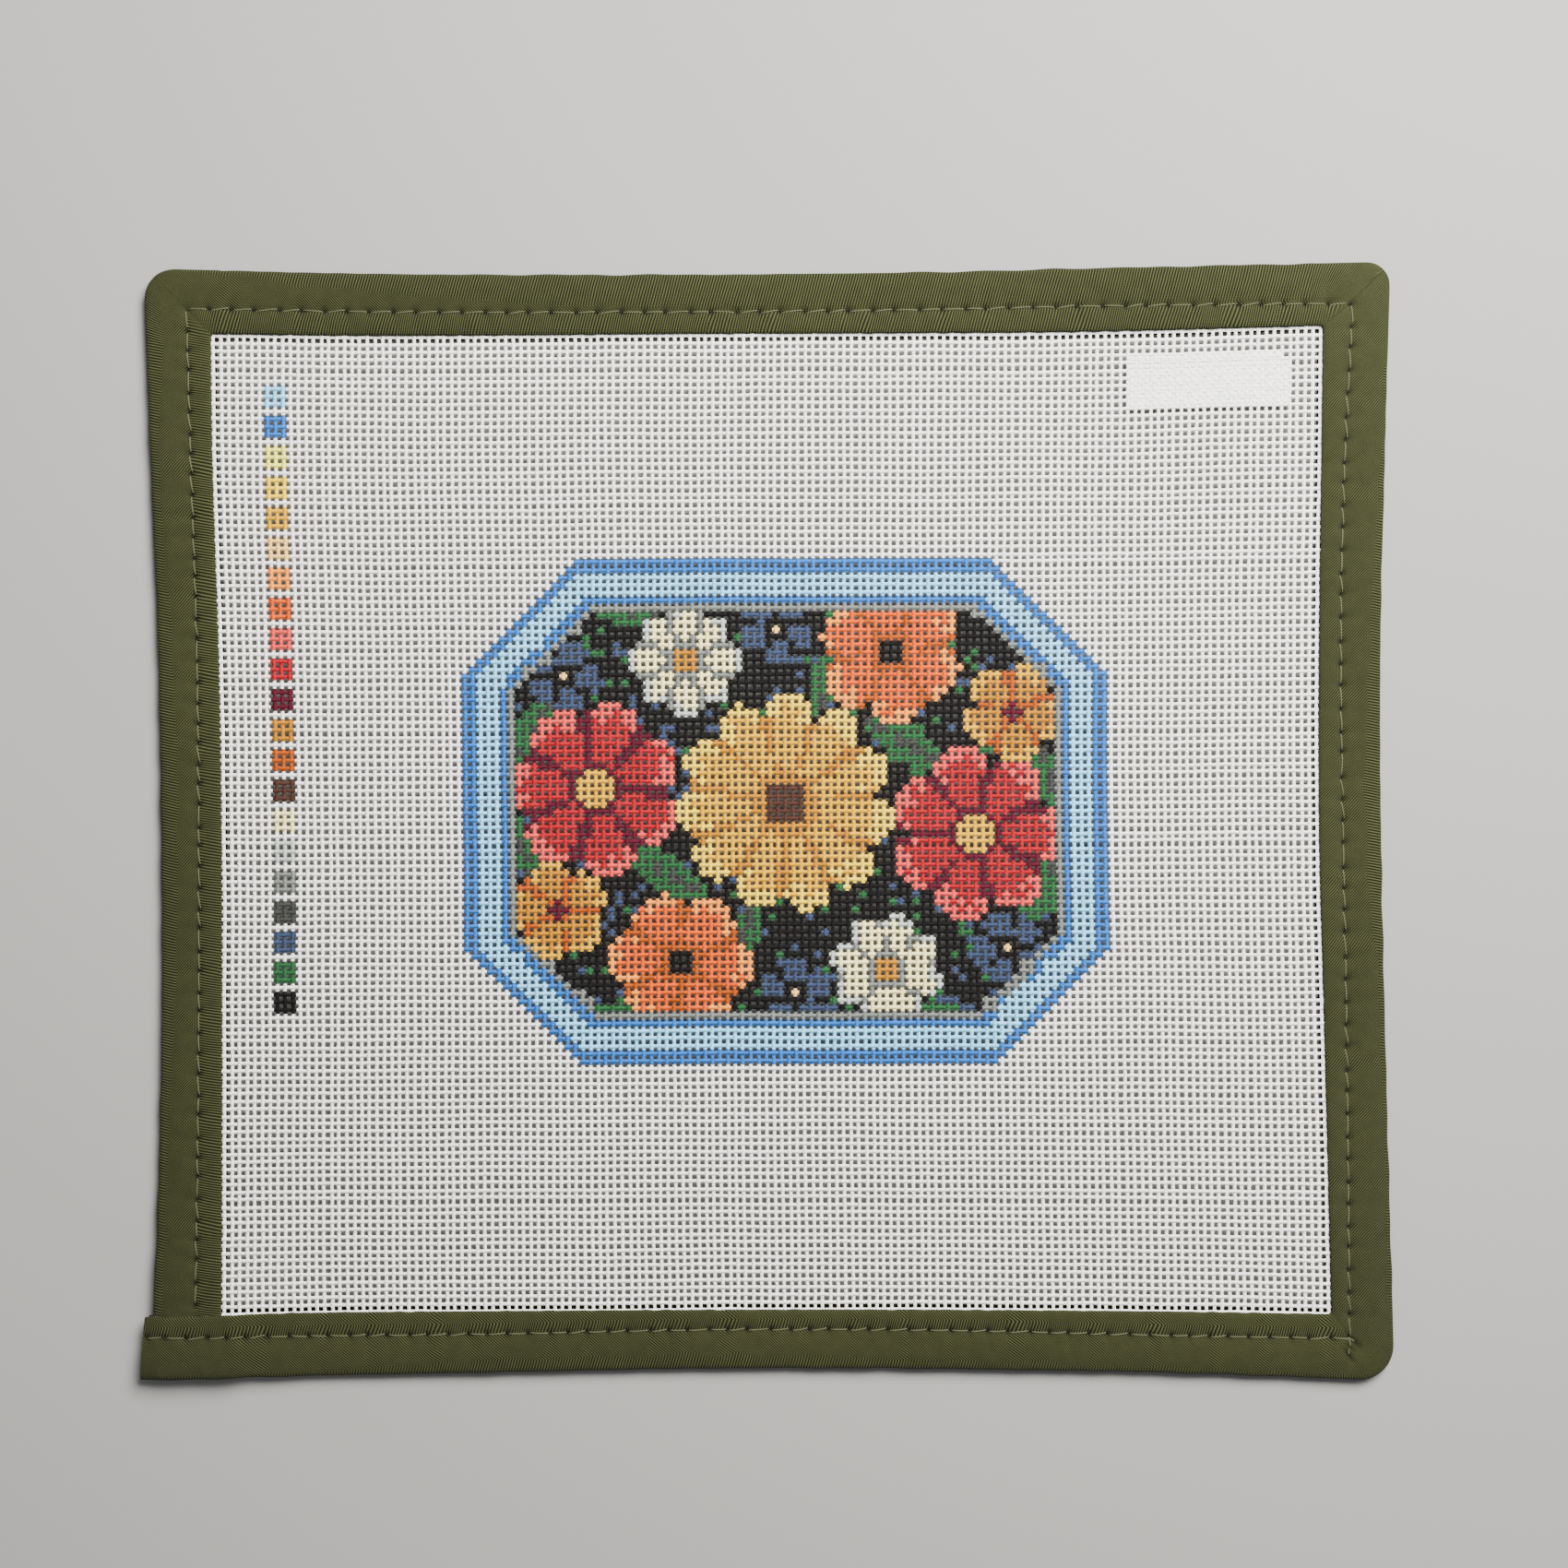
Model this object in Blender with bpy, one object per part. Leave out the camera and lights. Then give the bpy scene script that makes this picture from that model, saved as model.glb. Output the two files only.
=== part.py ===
"""Needlepoint canvas panel: one sheet of mesh canvas, its edges held in one strip of folded twill tape.

The panel lies flat, face up: +X runs to its right, +Y to its top, and the surface it lies on is z = 0.
The tape starts at the bottom of the left side, runs up, across, down and back, and its cut end lies
over its start at the bottom left corner. Sizes are in millimetres, and the meshes are made in metres.
"""

import math
from collections import namedtuple

import bmesh
import bpy
from mathutils import Vector
from mathutils.geometry import interpolate_bezier

MM = 0.001

# Thicknesses
CANVAS_THICK = 1.0
TAPE_WALL = 0.6
GAP = 0.3
LAP_GAP = 0.15
CROWN = 0.1
TAPE_THICK = CANVAS_THICK + 2 * (TAPE_WALL + GAP)

# The folded tape across its width
FOLD_DEPTH = 1.5
CANVAS_INSET = 1.8
UNDER_EXTRA = 0.6
EDGE_ROUND = 0.3
FOLD_POINTS = 4

# The tape's ends at the bottom left corner
START_ALONG = -102.4
END_ALONG = 116.9
END_SLANT = 0.07
LAP_LIFT = TAPE_WALL + LAP_GAP
LAP_COVER = TAPE_WALL + LAP_GAP + CROWN
LAP_RIGHT = -100.4
LAP_TOP = -91.0
LAP_EASE = 22.0
COVER_EASE = 6.0
END_DROOP = 0.8
END_DROOP_RUN = 3.5

# Ribs along the tape
RIB_STEP = 8.0
CORNER_RIBS = 8
CORNER_CLEAR = 1.6
INNER_ROUND = 0.8

# Canvas rings, as shares of the way from its middle to its edge
CANVAS_RINGS = (0.95, 0.87, 0.72, 0.45)
CANVAS_CORNER = 3.0
CANVAS_WAVE = 0.25
WAVE_LENGTH = 140.0

# One row for each place measured along a side. Along runs the way the tape runs, from the side's
# middle. Edge is the distance of the tape's outer fold from the panel's middle. Seam and width are
# the distances from that fold in to the line of stitches and to the tape's inner edge.
Row = namedtuple("Row", "along edge seam width")
Side = namedtuple("Side", "run out rows")
LEFT = Side(Vector((0, 1)), Vector((-1, 0)), (
    Row(-103, 115.1, 8.3, 13.3),
    Row(-70, 114.0, 7.5, 12.0),
    Row(-36, 113.3, 7.1, 11.3),
    Row(-2, 113.4, 7.2, 11.3),
    Row(33, 114.0, 7.4, 11.3),
    Row(67, 115.4, 7.7, 11.6),
    Row(91, 116.3, 7.9, 12.2),
))
TOP = Side(Vector((1, 0)), Vector((0, 1)), (
    Row(-104, 103.0, 7.5, 12.0),
    Row(-74, 102.3, 7.3, 11.6),
    Row(-6, 102.2, 7.2, 11.1),
    Row(29, 102.6, 7.2, 11.4),
    Row(63, 103.4, 7.3, 11.9),
    Row(104, 104.3, 7.8, 11.7),
))
RIGHT = Side(Vector((0, -1)), Vector((1, 0)), (
    Row(-92, 116.0, 7.1, 12.3),
    Row(-67, 115.3, 7.7, 11.9),
    Row(-33, 114.5, 7.6, 11.5),
    Row(2, 114.6, 7.3, 11.6),
    Row(36, 115.3, 7.4, 11.4),
    Row(92, 116.8, 8.3, 11.5),
))
BOTTOM = Side(Vector((-1, 0)), Vector((0, -1)), (
    Row(-104, 104.2, 7.7, 12.1),
    Row(-80, 103.3, 7.2, 11.6),
    Row(-29, 102.4, 7.4, 11.1),
    Row(6, 102.3, 7.4, 11.0),
    Row(57, 103.2, 7.4, 11.6),
    Row(92, 103.8, 7.7, 11.9),
    Row(117, 104.3, 8.2, 11.9),
))
SIDES = (LEFT, TOP, RIGHT, BOTTOM)
CORNER_RADII = (6.0, 4.6, 6.9)

# Lines that run the tape's whole length, each with its own place across the tape
LINES = {
    "edge": lambda row: row.edge,
    "seam": lambda row: row.edge - row.seam,
    "inner": lambda row: row.edge - row.width,
    "under": lambda row: row.edge - row.width - UNDER_EXTRA,
}
Rib = namedtuple("Rib", "edge seam inner under cover droop lifted")


def ease(share):
    """0 to 1 with a soft start and end, and level beyond both."""
    share = min(max(share, 0.0), 1.0)
    return share * share * (3 - 2 * share)


def along_rows(rows, value, at):
    """The value, of the rows' own kind, at a place along a side: a smooth curve through the rows."""
    slopes = [
        (value(b) - value(a)) / (b.along - a.along) for a, b in zip(rows, rows[1:])
    ]
    index = sum(1 for row in rows[1:-1] if at >= row.along)
    left, right = rows[index], rows[index + 1]
    if not left.along <= at <= right.along:
        nearest = left if at < left.along else right
        return value(nearest) + slopes[index] * (at - nearest.along)
    span = right.along - left.along
    t = (at - left.along) / span
    slope_in = (slopes[max(index - 1, 0)] + slopes[index]) / 2
    slope_out = (slopes[index] + slopes[min(index + 1, len(slopes) - 1)]) / 2
    rise = value(left) * (1 + 2 * t) * (1 - t) ** 2 + value(right) * t * t * (3 - 2 * t)
    return rise + span * (slope_in * t * (1 - t) ** 2 - slope_out * t * t * (1 - t))


def on_side(side, line, at):
    """The point of one of the tape's lines at a place along a side."""
    return side.run * at + side.out * along_rows(side.rows, LINES[line], at)


def meeting_point(before, after, line):
    """Where one of the tape's lines would meet itself at the corner of two sides."""
    at_before = 100.0
    for _ in range(6):
        point = on_side(before, line, at_before)
        at_after = point.dot(after.run)
        at_before = on_side(after, line, at_after).dot(before.run)
    return on_side(before, line, at_before)


def corner_line(start, corner, end, radius, count):
    """Points evenly along start, a round corner and end, without the two ends themselves."""
    arrive = (corner - start).normalized()
    leave = (end - corner).normalized()
    near, far = corner - arrive * radius, corner + leave * radius
    handle = radius * 0.5523
    arc = interpolate_bezier(near, near + arrive * handle, far - leave * handle, far, 13)
    path = [start, *(Vector(p[:2]) for p in arc), end]
    spans = [(b - a).length for a, b in zip(path, path[1:])]
    points = []
    for step in range(1, count):
        left = sum(spans) * step / count
        for a, b, span in zip(path, path[1:], spans):
            if left <= span:
                points.append(a.lerp(b, left / span))
                break
            left -= span
    return points


def side_rib(side, at, slant=0.0, cover=0.0, droop=0.0, lifted=True):
    """A rib straight across the tape, its inner points set back along the tape by the slant."""
    edge = on_side(side, "edge", at)
    points = []
    for line in LINES:
        point = on_side(side, line, at)
        points.append(point - side.run * slant * (edge - point).length)
    return Rib(*points, cover, droop, lifted)


def corner_ribs(before, after, radius, leave_at, arrive_at):
    """Ribs that fan round one corner of the panel."""
    lines = []
    for line in LINES:
        corner = meeting_point(before, after, line)
        ends = on_side(before, line, leave_at), on_side(after, line, arrive_at)
        line_radius = {"edge": radius, "under": INNER_ROUND / 2}.get(line, INNER_ROUND)
        lines.append(corner_line(ends[0], corner, ends[1], line_radius, CORNER_RIBS))
    return [Rib(*points, 0.0, 0.0, True) for points in zip(*lines)]


def places(first, last, step):
    """Places evenly from first to last, about a step apart."""
    count = max(1, round(abs(last - first) / step))
    return [first + (last - first) * i / count for i in range(count + 1)]


def tape_ribs():
    """All ribs of the tape from its start to its cut end."""
    ribs = []
    arrive_at = START_ALONG
    for index, side in enumerate(SIDES[:-1]):
        after = SIDES[index + 1]
        corner = meeting_point(side, after, "under")
        leave_at = corner.dot(side.run) - CORNER_CLEAR
        ribs += [side_rib(side, at) for at in places(arrive_at, leave_at, RIB_STEP)]
        arrive_at = corner.dot(after.run) + CORNER_CLEAR
        ribs += corner_ribs(side, after, CORNER_RADII[index], leave_at, arrive_at)
    lap_at = -LAP_RIGHT
    run_in = places(arrive_at, lap_at - COVER_EASE, RIB_STEP)
    run_over = places(lap_at - COVER_EASE, END_ALONG - END_DROOP_RUN, RIB_STEP / 3)
    for at in run_in + run_over[1:] + places(run_over[-1], END_ALONG, 1.0)[1:]:
        slant = END_SLANT * ease((at - lap_at) / (END_ALONG - lap_at))
        cover = LAP_COVER * ease((at - lap_at) / COVER_EASE + 1)
        droop = END_DROOP * max(0.0, (at - END_ALONG) / END_DROOP_RUN + 1)
        ribs.append(side_rib(BOTTOM, at, slant, cover, droop, lifted=False))
    return ribs


def lap_lift(point):
    """How far the canvas and the tape's start are lifted by the tape's end below them."""
    beyond = Vector((max(point.x - LAP_RIGHT, 0.0), max(point.y - LAP_TOP, 0.0)))
    return LAP_LIFT * (1 - ease(beyond.length / LAP_EASE))


def rib_outline(rib):
    """The tape's closed outline across one rib: under side out, round the fold, upper side in, and back."""
    into = (rib.seam - rib.edge).normalized()
    fold_out = rib.edge + into * FOLD_DEPTH
    crown_out = rib.edge.lerp(rib.seam, 0.55)
    crown_in = rib.seam.lerp(rib.inner, 0.5)
    inner_out = rib.inner - (rib.inner - rib.seam).normalized() * EDGE_ROUND

    def under(point, height=0.0):
        base = lap_lift(point) if rib.lifted else 0.0
        return point.x, point.y, base + height

    def over(point, height=0.0):
        top = TAPE_THICK + lap_lift(point) + rib.cover - rib.droop
        return point.x, point.y, top + height

    def fold(depth, wall):
        """Points round the fold between the under and the upper side, wall in from its surface."""
        low, high = under(fold_out, wall)[2], over(fold_out, -wall)[2]
        middle, half = (low + high) / 2, (high - low) / 2
        turns = [math.pi * (i / (FOLD_POINTS + 1) - 0.5) for i in range(1, FOLD_POINTS + 1)]
        spots = [(fold_out - into * depth * math.cos(turn), turn) for turn in turns]
        return [(p.x, p.y, middle + half * math.sin(turn)) for p, turn in spots]

    outside = [under(rib.under), under(rib.seam), under(fold_out), *fold(FOLD_DEPTH, 0.0)]
    upper = [
        over(fold_out),
        over(crown_out, CROWN),
        over(rib.seam),
        over(crown_in, CROWN),
        over(inner_out),
        over(rib.inner, -EDGE_ROUND),
    ]
    lining = [
        over(rib.inner, -TAPE_WALL),
        over(crown_in, CROWN - TAPE_WALL),
        over(rib.seam, -TAPE_WALL),
        over(crown_out, CROWN - TAPE_WALL),
        over(fold_out, -TAPE_WALL),
        *reversed(fold(FOLD_DEPTH - TAPE_WALL, TAPE_WALL)),
        under(fold_out, TAPE_WALL),
        under(rib.seam, TAPE_WALL),
        under(rib.under, TAPE_WALL),
    ]
    return outside + upper + lining


def canvas_outline():
    """The canvas's cut edge, inside the tape's fold, with its bottom left corner rounded."""
    left_at = START_ALONG + CANVAS_CORNER
    bottom_at = -on_side(LEFT, "edge", START_ALONG).x - CANVAS_INSET - CANVAS_CORNER
    points = []
    for rib in tape_ribs():
        point = rib.edge + (rib.seam - rib.edge).normalized() * CANVAS_INSET
        if rib.lifted and point.y < left_at and point.x < 0:
            continue
        if not rib.lifted and -point.x > bottom_at:
            continue
        points.append(point)
    corner = Vector((points[0].x, points[-1].y))
    points += corner_line(points[-1], corner, points[0], CANVAS_CORNER, 6)
    return points


def canvas_height(point, share):
    """The canvas's middle height: lifted at the overlap, and a little wavy away from its edges."""
    wave = math.sin(math.tau * point.x / WAVE_LENGTH) * math.cos(math.tau * point.y / WAVE_LENGTH)
    held = 1 - ease((share - 0.5) / 0.4)
    return TAPE_THICK / 2 + lap_lift(point) + CANVAS_WAVE * wave * held


def new_object(name, bm, colour, roughness):
    """An object made from a finished mesh, with its own plain material."""
    bmesh.ops.recalc_face_normals(bm, faces=bm.faces)
    mesh = bpy.data.meshes.new(name)
    bm.to_mesh(mesh)
    bm.free()
    mesh.shade_smooth()
    mesh.set_sharp_from_angle(angle=math.radians(50))
    material = bpy.data.materials.new(name)
    material.use_nodes = True
    shader = material.node_tree.nodes["Principled BSDF"]
    shader.inputs["Base Color"].default_value = (*colour, 1.0)
    shader.inputs["Roughness"].default_value = roughness
    mesh.materials.append(material)
    obj = bpy.data.objects.new(name, mesh)
    bpy.context.collection.objects.link(obj)
    return obj


def add_loop(bm, points):
    """New vertices at points given in millimetres."""
    return [bm.verts.new(Vector(point) * MM) for point in points]


def bridge(bm, first, second):
    """Faces between two closed loops of as many vertices."""
    for i in range(len(first)):
        j = (i + 1) % len(first)
        bm.faces.new((first[i], first[j], second[j], second[i]))


def make_tape():
    """The binding: one strip of tape folded over the canvas's edge."""
    bm = bmesh.new()
    loops = [add_loop(bm, rib_outline(rib)) for rib in tape_ribs()]
    for first, second in zip(loops, loops[1:]):
        bridge(bm, first, second)
    bm.faces.new(loops[0])
    bm.faces.new(reversed(loops[-1]))
    return new_object("binding_tape", bm, colour=(0.18, 0.19, 0.07), roughness=0.85)


def make_canvas():
    """The canvas: one flat sheet, its rings of points closing in on its middle."""
    bm = bmesh.new()
    outline = canvas_outline()
    loops = []
    for face in (0.5, -0.5):
        rings = []
        for share in (1.0, *CANVAS_RINGS):
            ring = [point * share for point in outline]
            heights = [canvas_height(p, share) + face * CANVAS_THICK for p in ring]
            rings.append(add_loop(bm, [(p.x, p.y, z) for p, z in zip(ring, heights)]))
        for first, second in zip(rings, rings[1:]):
            bridge(bm, first, second)
        bm.faces.new(rings[-1])
        loops.append(rings[0])
    bridge(bm, *loops)
    return new_object("canvas", bm, colour=(0.83, 0.81, 0.75), roughness=0.9)


def main():
    for obj in list(bpy.data.objects):
        bpy.data.objects.remove(obj)
    make_canvas()
    make_tape()


main()
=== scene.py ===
# %% [markdown]
# A needlepoint canvas panel
#
# The panel is an open, even mesh of white cotton, painted for stitching, with a binding of olive
# twill tape folded over its four edges and held by one line of machine stitches. This lesson dresses
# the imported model: real woven threads for the canvas, a soft folded strip for the tape, paint on
# the threads and sewing thread on the tape. Sizes are in millimetres until a mesh is made.

# %% Load the frame
import math
import random
from collections import namedtuple

import bmesh
import bpy
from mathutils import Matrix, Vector, noise
from mathutils.geometry import interpolate_bezier


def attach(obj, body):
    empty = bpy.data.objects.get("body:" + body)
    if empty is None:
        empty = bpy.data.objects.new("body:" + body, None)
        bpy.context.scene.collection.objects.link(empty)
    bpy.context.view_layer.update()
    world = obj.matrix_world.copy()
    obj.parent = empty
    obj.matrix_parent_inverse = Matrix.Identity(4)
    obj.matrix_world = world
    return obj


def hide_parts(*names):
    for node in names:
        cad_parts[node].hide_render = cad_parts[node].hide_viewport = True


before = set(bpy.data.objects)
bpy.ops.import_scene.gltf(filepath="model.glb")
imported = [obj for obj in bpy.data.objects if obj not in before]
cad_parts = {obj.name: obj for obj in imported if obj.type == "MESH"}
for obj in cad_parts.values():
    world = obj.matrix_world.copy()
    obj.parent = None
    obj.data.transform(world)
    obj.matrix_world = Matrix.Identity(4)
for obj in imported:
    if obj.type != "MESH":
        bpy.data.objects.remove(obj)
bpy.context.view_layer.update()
MM = 0.001

# %% [markdown]
# The lines of the tape
#
# A bound edge is easiest to describe by three lines that run round the whole panel: the outer fold,
# the line of stitches and the inner edge where the canvas comes out. They bow a little on each side,
# because cloth does. The lines could be drawn as curves by hand. Here each side has a short table of
# the distances that a maker would measure, so every later piece, tape, threads and stitches alike,
# is placed from the same few numbers.

# %% Measured rows for each side
# Along runs the way the tape runs, from the side's middle. Edge is the outer fold's distance from
# the panel's middle. Seam, width and band are the distances in from it to the stitches, to the inner
# edge and to the first turn of the twill. Slopes are the twill's, from the fold inwards.
Row = namedtuple("Row", "along edge seam width band")
Side = namedtuple("Side", "run out stitch slopes rows")
LEFT = Side(Vector((0, 1)), Vector((-1, 0)), 3.9, (-0.22, 1.0, -0.18, -0.16), (
    Row(-103, 115.1, 8.3, 13.3, 1.8),
    Row(-70, 114.0, 7.5, 12.0, 1.9),
    Row(-36, 113.3, 7.1, 11.3, 2.6),
    Row(-2, 113.4, 7.2, 11.3, 3.5),
    Row(33, 114.0, 7.4, 11.3, 3.0),
    Row(67, 115.4, 7.7, 11.6, 1.8),
    Row(91, 116.3, 7.9, 12.2, 3.8),
))
TOP = Side(Vector((1, 0)), Vector((0, 1)), 4.3, (-0.27, 1.0, -0.27, -0.25), (
    Row(-104, 103.0, 7.5, 12.0, 1.0),
    Row(-74, 102.3, 7.3, 11.6, 3.8),
    Row(-6, 102.2, 7.2, 11.1, 7.0),
    Row(29, 102.6, 7.2, 11.4, 7.0),
    Row(63, 103.4, 7.3, 11.9, 7.0),
    Row(104, 104.3, 7.8, 11.7, 7.0),
))
RIGHT = Side(Vector((0, -1)), Vector((1, 0)), 4.2, (-0.2, 1.0, 1.0, 1.0), (
    Row(-92, 116.0, 7.1, 12.3, 0.3),
    Row(-67, 115.3, 7.7, 11.9, 1.0),
    Row(-33, 114.5, 7.6, 11.5, 2.4),
    Row(2, 114.6, 7.3, 11.6, 3.2),
    Row(36, 115.3, 7.4, 11.4, 1.2),
    Row(92, 116.8, 8.3, 11.5, 1.0),
))
BOTTOM = Side(Vector((-1, 0)), Vector((0, -1)), 3.75, (-0.3, 1.0, -0.3, 0.9), (
    Row(-104, 104.2, 7.7, 12.1, 1.1),
    Row(-80, 103.3, 7.2, 11.6, 1.2),
    Row(-29, 102.4, 7.4, 11.1, 2.0),
    Row(6, 102.3, 7.4, 11.0, 2.8),
    Row(57, 103.2, 7.4, 11.6, 2.4),
    Row(92, 103.8, 7.7, 11.9, 0.6),
    Row(117, 104.3, 8.2, 11.9, 1.0),
))
SIDES = (LEFT, TOP, RIGHT, BOTTOM)
CORNER_RADII = (6.0, 4.6, 6.9)
UNDER_EXTRA = 0.6
LINES = {
    "edge": lambda row: row.edge,
    "seam": lambda row: row.edge - row.seam,
    "inner": lambda row: row.edge - row.width,
    "under": lambda row: row.edge - row.width - UNDER_EXTRA,
}


def ease(share):
    """0 to 1 with a soft start and end, and level beyond both."""
    share = min(max(share, 0.0), 1.0)
    return share * share * (3 - 2 * share)


def along_rows(rows, value, at):
    """A smooth curve through one value of the rows, read at a place along the side."""
    slopes = [
        (value(b) - value(a)) / (b.along - a.along) for a, b in zip(rows, rows[1:])
    ]
    index = sum(1 for row in rows[1:-1] if at >= row.along)
    left, right = rows[index], rows[index + 1]
    if not left.along <= at <= right.along:
        nearest = left if at < left.along else right
        return value(nearest) + slopes[index] * (at - nearest.along)
    span = right.along - left.along
    t = (at - left.along) / span
    slope_in = (slopes[max(index - 1, 0)] + slopes[index]) / 2
    slope_out = (slopes[index] + slopes[min(index + 1, len(slopes) - 1)]) / 2
    rise = value(left) * (1 + 2 * t) * (1 - t) ** 2 + value(right) * t * t * (3 - 2 * t)
    return rise + span * (slope_in * t * (1 - t) ** 2 - slope_out * t * t * (1 - t))


def on_side(side, line, at):
    """The point of one of the tape's lines at a place along a side."""
    return side.run * at + side.out * along_rows(side.rows, LINES[line], at)


def meeting_point(before, after, line):
    """Where one of the tape's lines would meet itself at the corner of two sides."""
    at_before = 100.0
    for _ in range(6):
        point = on_side(before, line, at_before)
        at_after = point.dot(after.run)
        at_before = on_side(after, line, at_after).dot(before.run)
    return on_side(before, line, at_before)


for name, first, second in (("top left", LEFT, TOP), ("bottom right", RIGHT, BOTTOM)):
    print("stitches turn at the", name, [round(v, 1) for v in meeting_point(first, second, "seam")])

# %% [markdown]
# Where the tape laps itself
#
# The tape's cut end lies over its own start at the bottom left corner, so that corner is two tapes
# thick. The end goes under the start as well as over it, and lifts it off the table. The lift could
# be left out and the layers let through each other, but it shows from the side. One soft function of
# the place gives it to the canvas and to the tape alike, so the layers stay apart.

# %% Heights at the overlap
TAPE_WALL = 0.45
LAP_LIFT = 0.75
LAP_COVER = 0.85
LAP_RIGHT = -100.4
LAP_TOP = -91.0
LAP_EASE = 22.0
COVER_EASE = 6.0
START_ALONG = -102.4
END_ALONG = 116.9
END_SLANT = 0.07
END_DROOP = 0.8
END_DROOP_RUN = 3.5
END_TUCK = 1.0


def lap_lift(point):
    """How far the canvas and the tape's start are lifted by the tape's end below them."""
    beyond = Vector((max(point.x - LAP_RIGHT, 0.0), max(point.y - LAP_TOP, 0.0)))
    return LAP_LIFT * (1 - ease(beyond.length / LAP_EASE))


# %% [markdown]
# Ribs and stitch holes
#
# The tape is built like a ship's hull: ribs across it, skinned along it. Machine stitches pull a pit
# into the cloth where the needle went through, and the cloth puffs up between two pits. A fine even
# grid would need millions of faces to show that. So the holes are placed first, at each side's own
# stitch length, and the ribs gather round them.

# %% Place the stitch holes
seam_corners = [meeting_point(a, b, "seam") for a, b in zip(SIDES, SIDES[1:])]


def hole_places(index):
    """The places along a side where the needle went through."""
    side = SIDES[index]
    first = START_ALONG + 1.0 if index == 0 else seam_corners[index - 1].dot(side.run)
    last = END_ALONG - 1.2 if side is BOTTOM else seam_corners[index].dot(side.run)
    count = round((last - first) / side.stitch)
    wander = random.Random(40 + index)
    places = []
    for i in range(count + 1):
        loose = 0.0 if i in (0, count) else wander.uniform(-0.4, 0.4)
        places.append(first + (last - first) * i / count + loose)
    return places


HOLES = [hole_places(index) for index in range(4)]
# Where the seam turns at the bottom right, the maker ran on a little and back.
KNOT = seam_corners[2]
KNOT_HOLES = [KNOT + Vector(step) for step in ((0.75, -0.5), (-0.1, -1.6), (-0.3, -2.9))]
KNOT_STITCHES = (
    (Vector((0.0, -0.8)), Vector((0.05, -1.4))),
    (Vector((-0.2, -2.3)), Vector((-0.2, -1.3))),
    (Vector((0.4, -0.25)), Vector((1.1, -0.6))),
    (Vector((-0.4, -0.1)), Vector((1.0, 0.45))),
)
print("needle holes on each side:", [len(places) for places in HOLES])

# %% Lay the ribs
Rib = namedtuple("Rib", "edge seam inner under leg cover droop fan")
PIT_STEPS = (-0.33, 0.0, 0.33)
RIBS_BETWEEN = 4
CORNER_RIBS = 40
CORNER_CLEAR = 1.6
INNER_ROUND = 0.8


def side_rib(leg, at, cover=0.0, droop=0.0, slant=0.0):
    """A rib straight across the tape, its inner points set back along the tape by the slant."""
    side = SIDES[leg]
    edge = on_side(side, "edge", at)
    edge += side.out * 0.22 * noise.noise(Vector((at * 0.16, leg * 7.0, 0.0)))
    points = [edge]
    for line in ("seam", "inner", "under"):
        point = on_side(side, line, at)
        if line == "inner":
            point += side.out * 0.16 * noise.noise(Vector((at * 0.5, leg * 5.0, 3.0)))
        if line == "under" and side is BOTTOM:
            point += side.out * END_TUCK * ease((at - END_ALONG) / 4 + 1.3)
        points.append(point - side.run * slant * (edge - point).length)
    return Rib(*points, leg, cover, droop, -1.0)


def corner_line(start, corner, end, radius, count):
    """Points evenly along start, a round corner and end, without the two ends themselves."""
    arrive = (corner - start).normalized()
    leave = (end - corner).normalized()
    near, far = corner - arrive * radius, corner + leave * radius
    handle = radius * 0.5523
    arc = interpolate_bezier(near, near + arrive * handle, far - leave * handle, far, 13)
    path = [start, *(Vector(p[:2]) for p in arc), end]
    spans = [(b - a).length for a, b in zip(path, path[1:])]
    points = []
    for step in range(1, count):
        left = sum(spans) * step / count
        for a, b, span in zip(path, path[1:], spans):
            if left <= span:
                points.append(a.lerp(b, left / span))
                break
            left -= span
    return points


def corner_ribs(leg, leave_at, arrive_at):
    """Ribs that fan round the corner after a leg, with the mitre half way."""
    before, after = SIDES[leg], SIDES[leg + 1]
    lines = []
    for line in LINES:
        corner = meeting_point(before, after, line)
        ends = on_side(before, line, leave_at), on_side(after, line, arrive_at)
        radius = {"edge": CORNER_RADII[leg], "under": INNER_ROUND / 2}.get(line, INNER_ROUND)
        lines.append(corner_line(ends[0], corner, ends[1], radius, CORNER_RIBS))
    ribs = []
    for step, points in enumerate(zip(*lines), start=1):
        fan = step / CORNER_RIBS
        ribs.append(Rib(*points, leg if fan <= 0.5 else leg + 1, 0.0, 0.0, fan))
    return ribs


def rib_places(leg, first, last):
    """Places along a leg, three at each needle hole and a few between two holes."""
    near = [at + step for at in HOLES[leg] for step in PIT_STEPS]
    between = []
    for a, b in zip(HOLES[leg], HOLES[leg][1:]):
        between += [a + (b - a) * i / RIBS_BETWEEN for i in range(1, RIBS_BETWEEN)]
    found = sorted(at for at in near + between if first + 0.2 < at < last - 0.2)
    return [first, *found, last]


def tape_ribs():
    """All ribs of the tape from its start to its cut end."""
    ribs = []
    arrive_at = START_ALONG
    for leg in range(3):
        corner = meeting_point(SIDES[leg], SIDES[leg + 1], "under")
        leave_at = corner.dot(SIDES[leg].run) - CORNER_CLEAR
        ribs += [side_rib(leg, at) for at in rib_places(leg, arrive_at, leave_at)]
        arrive_at = corner.dot(SIDES[leg + 1].run) + CORNER_CLEAR
        ribs += corner_ribs(leg, leave_at, arrive_at)
    for at in rib_places(3, arrive_at, END_ALONG):
        cover = LAP_COVER * ease((at + LAP_RIGHT) / COVER_EASE + 1)
        droop = END_DROOP * max(0.0, (at - END_ALONG) / END_DROOP_RUN + 1)
        slant = END_SLANT * ease((at + LAP_RIGHT) / (END_ALONG + LAP_RIGHT))
        ribs.append(side_rib(3, at, cover, droop, slant))
    return ribs


RIBS = tape_ribs()
print("ribs along the tape:", len(RIBS))

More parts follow.
